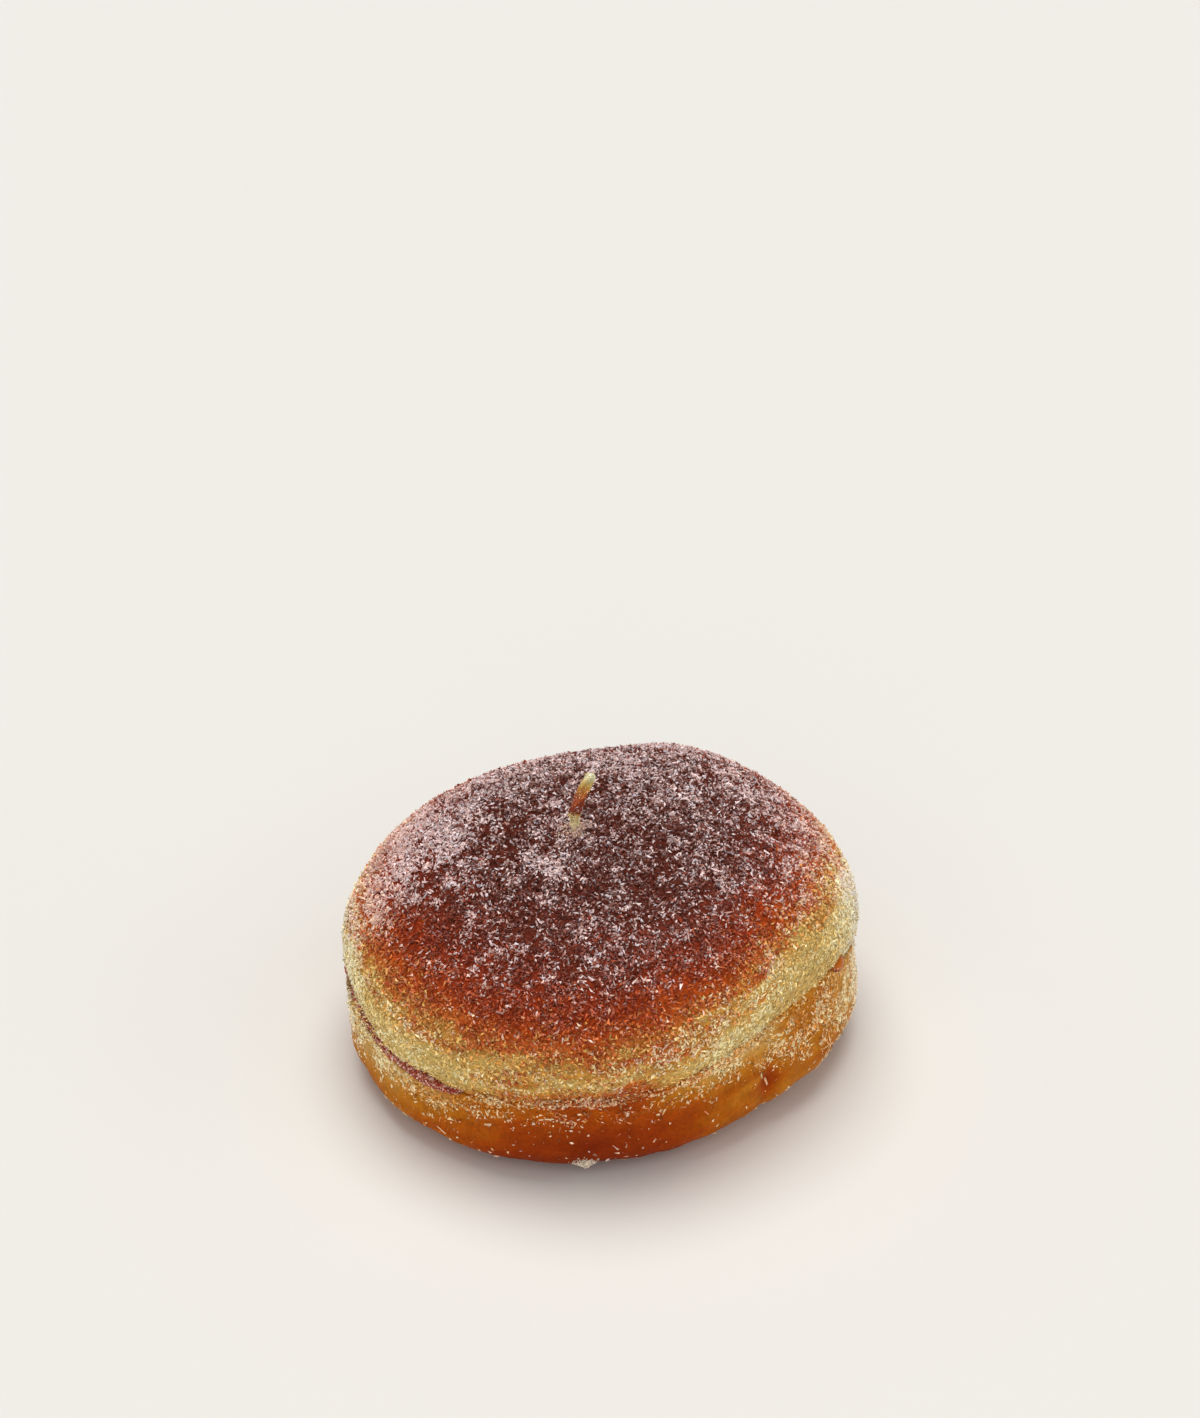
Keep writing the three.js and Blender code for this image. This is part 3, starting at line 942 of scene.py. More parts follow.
def grains(name: str, form: GrainForm, bodies: Array, facts: Facts, look: Material) -> None:
    """Joins grains of one form into a piece, with a square of its bake map for each grain.

    Args:
        name: The piece's name.
        form: The grains' form.
        bodies: Grains by corners by 3, in millimetres.
        facts: Named numbers, one for each corner of each grain.
        look: The grains' material.
    """
    count, corners = bodies.shape[:2]
    faces = form.triangles[None] + corners * np.arange(count)[:, None, None]
    values = {key: fact.ravel() for key, fact in facts.items()}
    made = piece(name, bodies.reshape(-1, 3), [faces.reshape(-1, 3)], values, look, smooth=False)
    across = int(np.ceil(np.sqrt(count)))
    cell = np.stack(np.divmod(np.arange(count), across), -1)
    half = np.array([[0.1, 0.1], [0.9, 0.1], [0.1, 0.9]])
    halves = np.stack([half, 1 - half])[np.arange(len(form.triangles)) % 2]
    squares = (cell[:, None, None] + halves[None]) / across
    layer = made.data.uv_layers.new(name=BAKE_MAP)
    layer.data.foreach_set("uv", squares.astype(np.float32).ravel())


# ---- Pieces


@dataclass
class Half:
    """What both halves share: their shape and their relief.

    Blooms are patches that are whiter or darker than around them: each one's direction, distance
    from the axis, size and amount. The crust's relief is a depth for each size of lump, in
    millimetres, and fades out towards the crease. A face to the jelly counts as FAR wave reaches
    away from the lip, so that only the lip waves.
    """

    FAR = 4

    shape: DoughnutShape
    columns: int = 330
    lumps: Mottle = field(default_factory=lambda: Mottle(5))
    relief: Pairs = ((9.0, 0.3), (3.2, 0.12), (1.2, 0.06))
    relief_fades: float = 3
    under_sugar: float = 0.35
    streak_radius: float = 24.0
    streak_flat: float = 2.2
    streak_size: float = 3.6
    lip_bare: float = 0.93
    lip_bare_reach: float = 0.9
    bare_from_gap: float = 0.6
    bare_over_gap: float = 0.8
    blooms: tuple[tuple[float, float, float, float], ...] = ()

    def rows(self, surface: Surface, start: float, end: float, count: int) -> Array:
        """Rows of points on a surface function, from one turn to another."""
        return surface(directions(self.columns)[None], np.linspace(start, end, count)[:, None])

    def streaks(self, angle: Array, height: Array) -> Array:
        """Noise from -1 to 1 in streaks that run round the half."""
        return self.lumps.at(polar(self.streak_radius, angle, height * self.streak_flat), self.streak_size)

    def lip_kept_clear(self, angle: Array, away: Array) -> Array:
        """How much of the sugar stays on a lip, at a height away from the open crease."""
        opened = ease((self.shape.gap(angle) - self.bare_from_gap) / self.bare_over_gap)
        return 1 - self.lip_bare * opened * bell(away, self.lip_bare_reach)

    def patches(self, points: Array) -> Array:
        """How much whiter or darker than around them the half's blooms are at each point."""
        total = np.zeros(points.shape[:-1])
        for at, radius, size, whiter in self.blooms:
            middle = polar(radius, np.radians(at), 0.0)[:2]
            total += whiter * np.exp(-((points[..., :2] - middle) ** 2).sum(-1) / size**2)
        return total

    def crusted(self, smooth: Array, share: Array, away: Array, facts: Facts) -> Skin:
        """Gives the smooth surface the crust's relief and an uneven lip.

        Args:
            smooth: The smooth surface's rows.
            share: How much of the relief each point gets.
            away: How far each point is from the crease.
            facts: Named numbers for each point, with "outside" true but on the face to the jelly.

        Returns:
            The half's surface.
        """
        lifted = sum(depth * self.lumps.at(smooth, size) for size, depth in self.relief)
        raised = smooth + Skin(smooth, {}).out * ((lifted - self.under_sugar) * share)[..., None]
        away = np.where(facts["outside"], away, self.FAR * self.shape.wave_reach)
        return Skin(self.shape.waved(raised, away), facts)


@dataclass
class Top(Half):
    """The browned top half with its sugar.

    The fry line is how far above the crease the crust starts to brown. Rise is the height above it,
    stretched so that the apex is at apex_rise in every direction; below it, rise is negative and in
    millimetres. Toast browns the lip. The rim sheen is painted sheen: whiter, cooler and milkier grains at
    the left and right ends of the outline.
    """

    fry_line: Belt = Belt((
        (0, 14.8), (20, 12), (50, 9), (90, 8), (130, 9.5), (165, 11.5), (197, 10.7), (210, 11.4),
        (223, 11.1), (235, 10.1), (248, 7.65), (262, 7.8), (276, 8.1), (290, 9.9), (308, 9.5), (323, 12),
        (338, 11.7), (352, 13.6),
    ))
    toast: Belt = Belt((
        (170, 0), (205, 0.05), (217, 0.14), (232, 0.3), (247, 0.38), (260, 0.25), (268, 0.25), (277, 0.42),
        (290, 0.38), (303, 0.06),
    ))
    dome_rows: int = 120
    lip_rows: int = 18
    blooms: tuple[tuple[float, float, float, float], ...] = (
        (177, 28.6, 4, 0.4), (186, 25.8, 3, 0.25), (184, 33.6, 4, 0.35), (193, 38.9, 4, 0.45),
        (162, 33, 6, 0.3), (162, 23, 3, 0.25), (131, 24.6, 4, 0.25), (81, 22, 4, 0.25), (62, 17.3, 3, 0.2),
        (37, 18.8, 3, 0.2), (38, 30.8, 5, 0.25), (17, 36, 5, 0.1), (353, 34, 3, 0.1), (214, 32.5, 5, -0.22),
        (318, 26, 5, 0.04), (221, 14.5, 2.6, 0.35), (237, 14.4, 2.6, 0.35), (201, 4.5, 3, 0.25),
        (336, 18.8, 3, 0.15), (303, 22, 3, 0.02), (286, 25, 3, 0.04), (193, 17, 2.6, -0.15),
        (199, 28.3, 3, -0.25), (237, 18.7, 2, -0.15), (265, 17.7, 2.6, -0.12), (299, 17.3, 2.6, -0.15),
        (358, 23.8, 3.5, -0.05), (326, 34, 3.5, -0.05), (321, 30, 3, -0.05), (8, 29, 4, -0.15),
        (210, 35.4, 4, -0.2), (257, 29, 3, -0.1), (230, 24.8, 2.5, -0.1),
    )
    apex_rise: float = 20
    toast_reach: float = 3.6
    browns_from: float = -8
    browns_over: float = 28
    paler: Stretch = Stretch(330, 32, 2.2)
    paler_to: float = 18
    streaky: float = 0.095
    line_browner: Touch = Touch(270, 17, 0.07, (-6, -3, 0, 1), (0.3, 1, 1, 0))
    # painted rim sheen at the left and right ends of the band's outline
    left_rim_sheen: Stretch = Stretch(181, 13)
    right_rim_sheen: Stretch = Stretch(6, 12, 1.4)
    sugar_thinner: Stretch = Stretch(262, 46, 1.2)
    sugar_thicker: Touch = Touch(350, 28, 0.3, (0, 2, 9, 11))
    # painted rim sheen: whiter grains on the dome's outer part at the outline's left and right ends
    ends_painted_sheen: tuple[Stretch, ...] = (Stretch(181, 14, 0.28), Stretch(12, 12, 0.16))
    band_whiter: Stretch = Stretch(190, 40, 0.4)
    bare_higher: Stretch = Stretch(258, 20, 2.2)
    bare_front: Stretch = Stretch(264, 42, 1.25)
    under_whiter: Stretch = Stretch(306, 12, 0.3)
    under_browner: Stretch = Stretch(336, 11, 0.45)
    dome_touches: tuple[Touch, ...] = (
        Touch(225, 45, -1.0, (-1, 1, 4, 7), (0, 0.36, 0.33, 0)),
        Touch(202, 10, 0.3, (10, 12.5, 15, 17)),
        Touch(338, 8, 0.3, (3, 5, 7, 8)),
        Touch(345, 14, 0.4, (9, 9.8, 10.7, 11.3)),
        Touch(352, 10, -0.2, (11, 11.8, 13, 14)),
        Touch(203, 9, -0.35, (-2, -1, 4, 6)),
        Touch(160, 34, 1.0, (0, 6, 11, 15), (0.4, 0.45, 0.35, 0.1)),
        Touch(25, 30, 1.0, (0, 6, 14), (0.2, 0.3, 0.05)),
    )
    band_touches: tuple[Touch, ...] = (
        Touch(187, 9, 0.25, (-6, -4, 0, 2)),
        Touch(218, 18, -0.28, (-9, -7, -2, 0)),
    )

    @cached_property
    def skin(self) -> Skin:
        """The top's surface."""
        shape = self.shape
        inner = self.rows(shape.top_inner, 0, 1, 4)
        lip = self.rows(shape.top_lip_point, QUARTER, 0, self.lip_rows)[:-1]
        dome = self.rows(shape.dome_point, QUARTER, 0, self.dome_rows)
        smooth = np.concatenate([inner, lip, dome])
        angle = np.broadcast_to(directions(self.columns), smooth.shape[:2])
        above = smooth[..., 2] - shape.crease.at(angle)
        outside = np.arange(len(smooth))[:, None] >= len(inner)
        line = self.fry_line.at(angle)
        stretch = self.apex_rise / (shape.apex_above_crease(angle) - line)
        rise = np.where(above > line, (above - line) * stretch, above - line)
        toasted = self.toast.at(angle) * bell(above, self.toast_reach)
        less = self.paler.at(angle) * np.sin(np.pi * np.clip(rise / self.paler_to, 0, 1))
        streaks = self.streaky * self.streaks(angle, above) * fade(rise, 1, 5)
        streaks = streaks + self.line_browner.over(angle, rise)
        # painted rim sheen: whiter grains at the left and right ends of the band's outline
        rim_sheen = self.left_rim_sheen.at(angle) * fade(rise, -2, 6)
        facts = {
            "brown": np.clip((rise - less - self.browns_from) / self.browns_over + toasted + streaks, 0, 1),
            "rise": rise,
            "toasted": toasted,
            "rim_sheen": rim_sheen + self.right_rim_sheen.at(angle) * fade(rise, -3, 5),
            "calm": np.interp(rise, [-4, 2], [0.6, 1]),
            "outside": outside + 0 * angle,
        }
        return self.crusted(smooth, outside * ease(above / self.relief_fades), above, facts)

    def cover(self) -> Array:
        """How thickly sugar lies on each point of the top."""
        points, facts = self.skin.points, self.skin.facts
        rise = facts["rise"]
        angle = direction(points)
        front = np.clip(self.sugar_thinner.at(angle), 0, 1)
        level = np.interp(rise, [-9, -2, 0, 9], [0.8, 0.85, 0.85, 0.95])
        level = level - np.interp(rise, [-1, 3, 6, 9], [0, 0.15, 0.35, 0]) * front
        level = level + self.sugar_thicker.over(angle, rise)
        patchy = 1 + 0.9 * self.lumps.at(points + 40, 1.6) + 0.3 * self.lumps.at(points - 60, 7)
        lip = self.lip_kept_clear(angle, points[..., 2] - self.shape.crease.at(angle))
        thick = level * np.clip(patchy, 0.3, 2.0) + 0.6 * self.patches(points) - 1.3 * facts["toasted"]
        return facts["outside"] * lip * np.clip(thick, 0.15, 2.5)

    def frost(self, spots: Spots) -> Array:
        """How white the top's grains are on the whole at each spot."""
        rise, place = spots.facts["rise"], spots.place
        angle = direction(place)
        band = np.interp(rise, [-9, -4, -1, 1], [0.7, 0.72, 0.5, 0]) * (1 + self.band_whiter.at(angle))
        up = rise - self.bare_higher.at(angle)
        bare = np.interp(up, [1.5, 4.7, 6, 8, 9.5], [0, 0.26, 0.38, 0.3, 0])
        bare = bare * np.clip(self.bare_front.at(angle), 0, 1)
        dome = np.interp(rise, [0, 8, 14], [0.4, 0.44, 0.52]) - bare
        dome = dome + sum(touch.over(angle, rise) for touch in self.dome_touches)
        # painted rim sheen: grains whiter towards the outline's left and right ends and, through far,
        # towards the far rim
        ends = sum(end.at(angle) for end in self.ends_painted_sheen) * ease((np.hypot(*place[:, :2].T) - 24) / 12)
        far = 0.25 * ease((place[:, 1] - 2) / 26) + 1.1 * ease((place[:, 1] - 27) / 9)
        clumps = 0.36 * self.lumps.at(place - 25, 2.0) + 0.3 * self.streaks(angle, rise + 9) * (rise < 1)
        whiter = band + (dome + far + ends) * (rise > -1) + clumps + 1.35 * self.patches(place)
        whiter = whiter + self.under_whiter.at(angle) * (rise < -3)
        whiter = whiter - self.under_browner.at(angle) * (rise < 2)
        whiter = whiter + sum(touch.over(angle, rise) for touch in self.band_touches)
        # grains are whiter where the painted rim sheen lies
        return whiter + 0.8 * spots.facts["rim_sheen"] - 1.4 * spots.facts["toasted"]

    def build(self) -> None:
        """Makes the top and dresses it."""
        made = self.skin.mesh("bun_top_crust", CrustFinish("top_crust_brown", TOP_BAKE, 0.5).make())
        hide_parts("bun_top")


@dataclass
class Base(Half):
    """The browned base with its sugar.

    Below the lip, the crust turns from lip_brown to low_brown round the depth browns_at, and the
    sugar thins out past the depth sugar_ends. A scorch is a direction, a depth under the crease, a
    width in degrees, a height and how much browner it is. The one in the dent at 320 is partly
    browning and partly painted shade in the dent.
    """

    lip_brown: Belt = Belt((
        (0, 0.25), (30, 0.15), (150, 0.1), (204, 0.05), (216, 0.1), (222, 0.2), (228, 0.29), (240, 0.43),
        (252, 0.56), (264, 0.62), (278, 0.66), (290, 0.4), (300, 0.12), (310, 0.06), (318, 0.2), (326, 0.4),
        (338, 0.4), (350, 0.2),
    ))
    low_brown: Belt = Belt((
        (0, 0.42), (30, 0.5), (90, 0.62), (150, 0.5), (190, 0.38), (216, 0.47), (228, 0.56), (240, 0.68),
        (252, 0.82), (264, 0.92), (276, 0.9), (288, 0.78), (300, 0.57), (312, 0.47), (324, 0.44),
        (336, 0.44), (348, 0.38),
    ))
    browns_at: Belt = Belt((
        (0, 9), (90, 7), (150, 7), (190, 7), (204, 6.2), (216, 5.6), (252, 6.5), (264, 6.5), (288, 7),
        (300, 5), (312, 3.8), (324, 8), (336, 11), (348, 11),
    ))
    browns_over: float = 9
    # the first sits in the dent at 320: partly browning, partly painted shade in the dent
    scorches_and_dent_shade: tuple[tuple[float, float, float, float, float], ...] = (
        (320, 13, 2.6, 3.4, 0.3), (284, 0.8, 6, 1.6, 0.16),
    )
    lip_sugar: Belt = Belt((
        (0, 0.5), (90, 0.5), (150, 0.6), (190, 1.4), (204, 1.2), (216, 0.5), (228, 0.3), (238, 0.25),
        (246, 0.32), (270, 0.55), (282, 0.3), (290, 0.4), (300, 0.85), (310, 1.0), (318, 0.5), (326, 0.06),
        (340, 0.12), (348, 1.2),
    ))
    side_sugar: Belt = Belt((
        (0, 0.9), (30, 0.7), (90, 0.55), (150, 0.6), (190, 1.3), (204, 0.85), (216, 0.95), (228, 1.3),
        (240, 0.5), (258, 0.28), (270, 0.35), (282, 0.65), (290, 0.34), (306, 0.3), (318, 0.32), (330, 0.5),
        (342, 0.8),
    ))
    sugar_ends: Belt = Belt((
        (0, 13), (30, 11), (90, 9), (150, 7.5), (190, 5.8), (198, 5.1), (204, 3.8), (210, 3.1), (216, 3.4),
        (222, 4), (228, 4.6), (236, 4.1), (246, 3), (258, 4.2), (270, 4.5), (282, 5.4), (294, 5), (306, 8),
        (318, 7), (330, 11.8), (342, 12.5),
    ))
    edge_rows: int = 50
    lip_rows: int = 44
    foot_fades: float = 2
    streaky: float = 0.05
    calm: float = 0.55
    milky: float = 0.04
    # painted rim sheen at the left and right ends of the base's outline
    rim_sheens: tuple[Stretch, ...] = (Stretch(186, 12), Stretch(6, 10))
    bare_spot: Stretch = Stretch(284, 6, 0.95)
    bare_spot_below: float = 0.9
    bare_spot_tall: float = 1.6
    whiter: Stretch = Stretch(205, 12, 0.3)
    lip_touches: tuple[Touch, ...] = (
        Touch(334, 15, -0.8, (2, 3.5), (1, 0)),
        Touch(234, 9, -0.8, (2, 3.5), (1, 0)),
    )

    @cached_property
    def skin(self) -> Skin:
        """The base's surface."""
        shape = self.shape
        foot = self.rows(shape.foot_point, 0, 1, 5)[:-1]
        edge = self.rows(shape.base_edge_point, QUARTER, 0, self.edge_rows)[:-1]
        lip = self.rows(shape.base_lip_point, QUARTER, 0, self.lip_rows)
        inner = self.rows(shape.base_inner, 1, 0, 4)
        smooth = np.concatenate([foot, edge, lip, inner])
        angle = np.broadcast_to(directions(self.columns), smooth.shape[:2])
        below = shape.crease.at(angle) - smooth[..., 2]
        row = np.arange(len(smooth))[:, None]
        outside = (row >= len(foot)) & (row < len(smooth) - len(inner))
        share = outside * ease(below / self.relief_fades) * ease(smooth[..., 2] / self.foot_fades)
        down = ease((below - self.browns_at.at(angle)) / self.browns_over + 0.5)
        brown = lerp(self.lip_brown.at(angle), self.low_brown.at(angle), down)
        # browner spots; the one in the dent is partly painted shade
        for at, middle, wide, tall, more in self.scorches_and_dent_shade:
            brown = brown + more * near(angle, at, wide) * bell(below - middle, tall)
        facts = {
            "brown": np.clip(brown + self.streaky * self.streaks(angle, below), 0, 1),
            "calm": self.calm + 0 * angle,
            "milky": self.milky + 0 * angle,
            # painted rim sheen
            "rim_sheen": sum(rim_sheen.at(angle) for rim_sheen in self.rim_sheens),
            "below": below,
            "outside": outside + 0 * angle,
        }
        return self.crusted(smooth, share, below, facts)

    def cover(self) -> Array:
        """How thickly sugar lies on each point of the base."""
        points, facts = self.skin.points, self.skin.facts
        below = facts["below"]
        angle = direction(points)
        level = lerp(self.lip_sugar.at(angle), self.side_sugar.at(angle), ease((below - 0.8) / 1.7))
        past = below - self.sugar_ends.at(angle)
        level = level * np.interp(past, [-1, 0, 1.5, 4, 9], [1, 0.6, 0.14, 0.04, 0.015])
        patchy = 1 + 1.5 * self.lumps.at(points + 15, 2.4) + 0.6 * self.lumps.at(points - 30, 6)
        above_floor = ease((points[..., 2] - 0.4) / 1.5)
        bare = 1 - self.bare_spot.at(angle) * bell(below - self.bare_spot_below, self.bare_spot_tall)
        lip = self.lip_kept_clear(angle, below)
        return facts["outside"] * level * np.clip(patchy, 0.08, 1.9) * bare * lip * above_floor

    def frost(self, spots: Spots) -> Array:
        """How white the base's grains are on the whole at each spot."""
        angle, below = direction(spots.place), spots.facts["below"]
        clumps = 0.45 * self.lumps.at(spots.place + 15, 2.4) + self.whiter.at(angle)
        clumps = clumps + sum(touch.over(angle, below) for touch in self.lip_touches)
        level = np.interp(below, [0, 4, 9, 13], [0.6, 0.54, 0.62, 0.8])
        # grains are whiter where the painted rim sheen lies
        return level + clumps + 0.6 * spots.facts["rim_sheen"]

    def build(self) -> None:
        """Makes the base and dresses it."""
        made = self.skin.mesh("bun_base_crust", CrustFinish("base_crust_golden", BASE_BAKE, 0.15).make())
        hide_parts("bun_base")


@dataclass
class Jelly:
    """The layer of jelly between the halves."""

    shape: DoughnutShape
    columns: int = 300
    edge_rows: int = 15
    lumps: Mottle = field(default_factory=lambda: Mottle(9))
    face_rows: int = 4
    lump_size: float = 2.4
    lump_depth: float = 0.3
    sugar_over: float = 0.6
    thin: Stretch = Stretch(350, 12)
    bare: Stretch = Stretch(189, 11)

    @cached_property
    def skin(self) -> Skin:
        """The jelly's surface."""
        shape, angle = self.shape, directions(self.columns)[None]
        inward = np.linspace(0, 1, self.face_rows)[:, None]
        turns = np.linspace(-QUARTER, QUARTER, self.edge_rows)[:, None]
        edge = shape.jelly_edge(angle, turns)
        push_out(edge, self.lump_depth * self.lumps.at(edge, self.lump_size) * np.cos(turns))
        bottom = shape.jelly_face(angle, inward, -1)
        top = shape.jelly_face(angle, inward[::-1], 1)
        points = np.concatenate([bottom, edge, top])
        row = np.arange(len(points))[:, None]
        hidden = 2 * self.face_rows
        gape = ease((shape.gap(angle) - shape.closed_gap) / self.sugar_over)
        flat = 0.0 * points[..., 0]
        facts = {
            "shown": gape * ((row >= hidden) & (row < len(points) - hidden)) + flat,
            "thin": self.thin.at(angle) + flat,
            "bare": self.bare.at(angle) + flat,
        }
        return Skin(points, facts)

    def build(self) -> None:
        """Makes the jelly and dresses it."""
        made = self.skin.mesh("jelly_layer", JellyFinish().make())
        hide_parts("jelly")


@dataclass
class Wick:
    """The candle wick: three strands laid round each other.

    Its middle line is given as heights above the dome and how far it leans there, in millimetres,
    and its swells as shares of its length and its radius there.
    """

    shape: DoughnutShape
    foot: tuple[float, float] = (-3.8, -2.4)
    line: Pairs = ((-6.5, 0), (-3, 0), (0, 0), (4.1, 0.1), (7.7, 1.35), (11.6, 2.8))
    swells: Pairs = (
        (0, 1), (0.3, 1.0), (0.4, 0.85), (0.49, 0.8), (0.59, 1.16), (0.75, 1.1), (0.92, 1.14), (1, 1.02),
    )
    tip_round: float = 0.06
    columns: int = 36
    rows: int = 110
    strands: int = 3
    strand_relief: float = 0.13
    # how strongly painted shade darkens the grooves between the strands
    strand_groove_shade: float = 0.35
    lay: float = 5.5
    cap_from: float = 0.985
    cap_rows: int = 6

    def foot_height(self) -> float:
        """Height at which the wick leaves the dome."""
        x, y = self.foot
        angle = np.arctan2(y, x)
        share = np.hypot(x, y) / self.shape.top_out(angle)
        turn = np.arcsin(share ** (self.shape.dome_plan_power / 2))
        return float(self.shape.dome_point(angle, turn)[2])

    def middle(self, up: Array) -> Array:
        """The middle line's height and lean at shares of its length."""
        marks = np.array(self.line)
        marks = np.concatenate([[2 * marks[0] - marks[1]], marks, [2 * marks[-1] - marks[-2]]])
        at = np.clip(up, 0, 1) * (len(self.line) - 1)
        step = np.minimum(at.astype(int), len(self.line) - 2)
        t = (at - step)[:, None]
        a, b, c, d = (marks[step + k] for k in range(4))
        bend = (2 * a - 5 * b + 4 * c - d) * t**2 + (3 * (b - c) + d - a) * t**3
        return 0.5 * (2 * b + (c - a) * t + bend)

    @cached_property
    def skin(self) -> Skin:
        """The wick's surface."""
        cap = (1 - self.cap_from) * np.cos(np.linspace(0, QUARTER, self.cap_rows + 1)[1:])
        up = np.concatenate([np.linspace(0, self.cap_from, self.rows), 1 - cap])
        marks, sizes = np.array(self.swells).T
        step = np.clip(np.searchsorted(marks, up), 1, len(marks) - 1)
        share = ease((up - marks[step - 1]) / (marks[step] - marks[step - 1]))
        tip = 1 - ease((up - 1 + self.tip_round) / self.tip_round) ** 2
        radius = lerp(sizes[step - 1], sizes[step], share) * np.sqrt(np.clip(tip, 0, 1))
        height, lean = self.middle(up).T
        angle = directions(self.columns)[None]
        strand = np.cos(self.strands * angle - TURN * (height / self.lay)[:, None])
        ring = radius[:, None] * (1 - self.strand_relief + self.strand_relief * strand)
        points = polar(ring, angle, height[:, None] + self.foot_height())
        points[..., 0] += self.foot[0] + lean[:, None]
        points[..., 1] += self.foot[1]
        butt = np.broadcast_to(points[:1].mean(1, keepdims=True), points[:1].shape)
        tall = np.concatenate([height[:1], height])[:, None] / self.line[-1][0] + 0 * angle
        # painted shade: darker in the grooves between the strands, lighter on their crests
        groove_shade = np.concatenate([strand[:1], strand]) * self.strand_groove_shade
        return Skin(np.concatenate([butt, points]), {"height": np.clip(tall, 0, 1), "strand": groove_shade})

    def build(self) -> None:
        """Makes the wick and dresses it."""
        made = self.skin.mesh("wick_cord", WickFinish().make())
        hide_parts("wick")


@dataclass
class Sugar:
    """All the sugar on the doughnut.

    Brown, frost and calm are how browned the crust is that shows through grains, how white they are
    on the whole and how flat they lie. Counts are of shards, crystals, splinters and dust. A grain's
    own white is drawn from one of three beta spreads, for bright, dull and clear grains; the bright
    grains are partly whiter sugar and partly painted glints.
    """

    top: Top
    base: Base
    jelly: Jelly
    wick: Wick
    seed: int = 41
    tints: Stops = (
        (0.0, (236, 208, 136)), (0.25, (232, 198, 132)), (0.45, (230, 170, 128)), (0.65, (226, 156, 130)),
        (1.0, (224, 158, 140)),
    )
    whites: Stops = (
        (0.0, (248, 238, 190)), (0.25, (248, 232, 180)), (0.45, (246, 214, 192)), (0.65, (246, 220, 214)),
        (1.0, (244, 222, 218)),
    )
    base_tints: Stops = ((0.0, (238, 204, 122)), (0.5, (232, 172, 78)), (1.0, (224, 146, 90)))
    base_whites: Stops = ((0.0, (254, 242, 194)), (0.5, (254, 230, 180)), (1.0, (250, 214, 188)))
    clump_tints: Stops = ((0.0, (240, 226, 190)), (1.0, (236, 212, 176)))
    clump_whites: Stops = ((0.0, (255, 250, 232)), (1.0, (252, 240, 218)))
    stray: float = 0.09
    # bright grains: partly whiter sugar, partly painted glints
    bright_and_glint_share: float = 0.78
    cool_share: float = 0.25
    gain_mean: float = 0.15
    gain_spread: float = 0.3
    gain_most: float = 1.6
    # how much cooler and milkier the painted rim sheen makes grains
    rim_sheen_cool: tuple[float, float] = (0.1, 0.65)
    rim_sheen_milky: float = 0.45
    pale_milky: float = 0.13
    bright_and_glint_white: tuple[float, float] = (8.0, 1.4)
    dull_white: tuple[float, float] = (1.2, 3.2)
    clear_white: tuple[float, float] = (1.0, 20.0)
    shard: GrainKind = GrainKind(
        GrainForm.NEEDLE, (1.0, 1.9), (0.34, 0.52), flat=0.7, whiter=0.45, tilt=0.25
    )
    crystal: GrainKind = GrainKind(GrainForm.CRYSTAL, (0.5, 1.4), (0.34, 0.62), long_few=2.5)
    splinter: GrainKind = GrainKind(
        GrainForm.SPLINTER, (0.6, 1.5), (0.32, 0.62), lift=(-0.2, 0.8), long_few=1.5
    )
    dust: GrainKind = GrainKind(GrainForm.SPLINTER, (0.2, 0.55), (0.2, 0.4), tilt=0.8, lift=(-0.3, 1.4))
    small: GrainKind = GrainKind(GrainForm.CRYSTAL, (0.35, 0.95), (0.26, 0.5))
    top_counts: tuple[int, int, int, int] = (700, 17000, 46000, 42000)
    base_counts: tuple[int, int, int, int] = (420, 3800, 12500, 12500)
    crease_count: int = 5200
    crease_rows: int = 12
    crease_low_turn: float = 0.17
    crease_high_turn: float = 1.15
    crease_swell: float = 0.45
    crease_cover: Belt = Belt((
        (2, 0), (8, 0.3), (40, 0.3), (150, 0.3), (174, 0), (194, 0), (203, 0.12), (210, 0.1), (220, 0),
        (236, 0), (245, 0.35), (256, 0.2), (270, 0.9), (275, 0.5), (279, 0.05), (288, 0.05), (293, 0.8),
        (303, 2.4), (314, 1.0), (322, 0.15), (334, 0), (341, 0.1), (343, 0),
    ))
    crease_brown: float = 0.15
    crease_browner: Stretch = Stretch(270, 30, 0.5)
    crease_frost: float = 0.75
    jelly_count: int = 3400
    jelly_brown: float = 0.52
    jelly_frost: float = 0.6
    clump_at: tuple[float, float] = (267, 32)
    clump_size: float = 1.2
    heap_count: int = 480
    heap_size: float = 1.9
    heap_tall: float = 0.75
    heap_brown: float = 0.5
    heap_frost: float = 1.3
    wick_count: int = 620
    wick_calm: float = 0.5
    rng: np.random.Generator = field(init=False)
    top_look: Material = field(init=False)
    base_look: Material = field(init=False)

    def coloured(self, spots: Spots, frost: Array, kind: GrainKind) -> Facts:
        """Gives each grain its own look.

        Args:
            spots: Where the grains lie.
            frost: How white they are on the whole at each.
            kind: The kind of grain.

        Returns:
            For each corner of each grain, how browned the crust is that shows through it, how much
            lighter it shows, how white the grain is itself and how cool that white is. The spread of
            lightness from grain to grain, and of lightness and white from corner to corner, is painted
            facet shading.
        """
        rng, count = self.rng, len(frost)
        # painted facet shading: each corner's own share of lightness and white
        uneven = rng.normal(0, 1, (count, len(kind.form.corners)))
        stray = rng.normal(0, self.stray, count) * np.clip(spots.facts["brown"] / 0.3, 0.3, 1)
        brown = np.clip(spots.facts["brown"] + stray, 0, 1)
        # lightness spread from grain to grain: painted facet shading
        gain = np.minimum(np.exp(rng.normal(self.gain_mean, self.gain_spread, count)), self.gain_most)
        cool = (rng.uniform(0, 1, count) < self.cool_share) * rng.uniform(0.3, 1, count)
        cool = cool * np.clip(spots.facts["brown"] * 3 - 1.4, 0, 1)
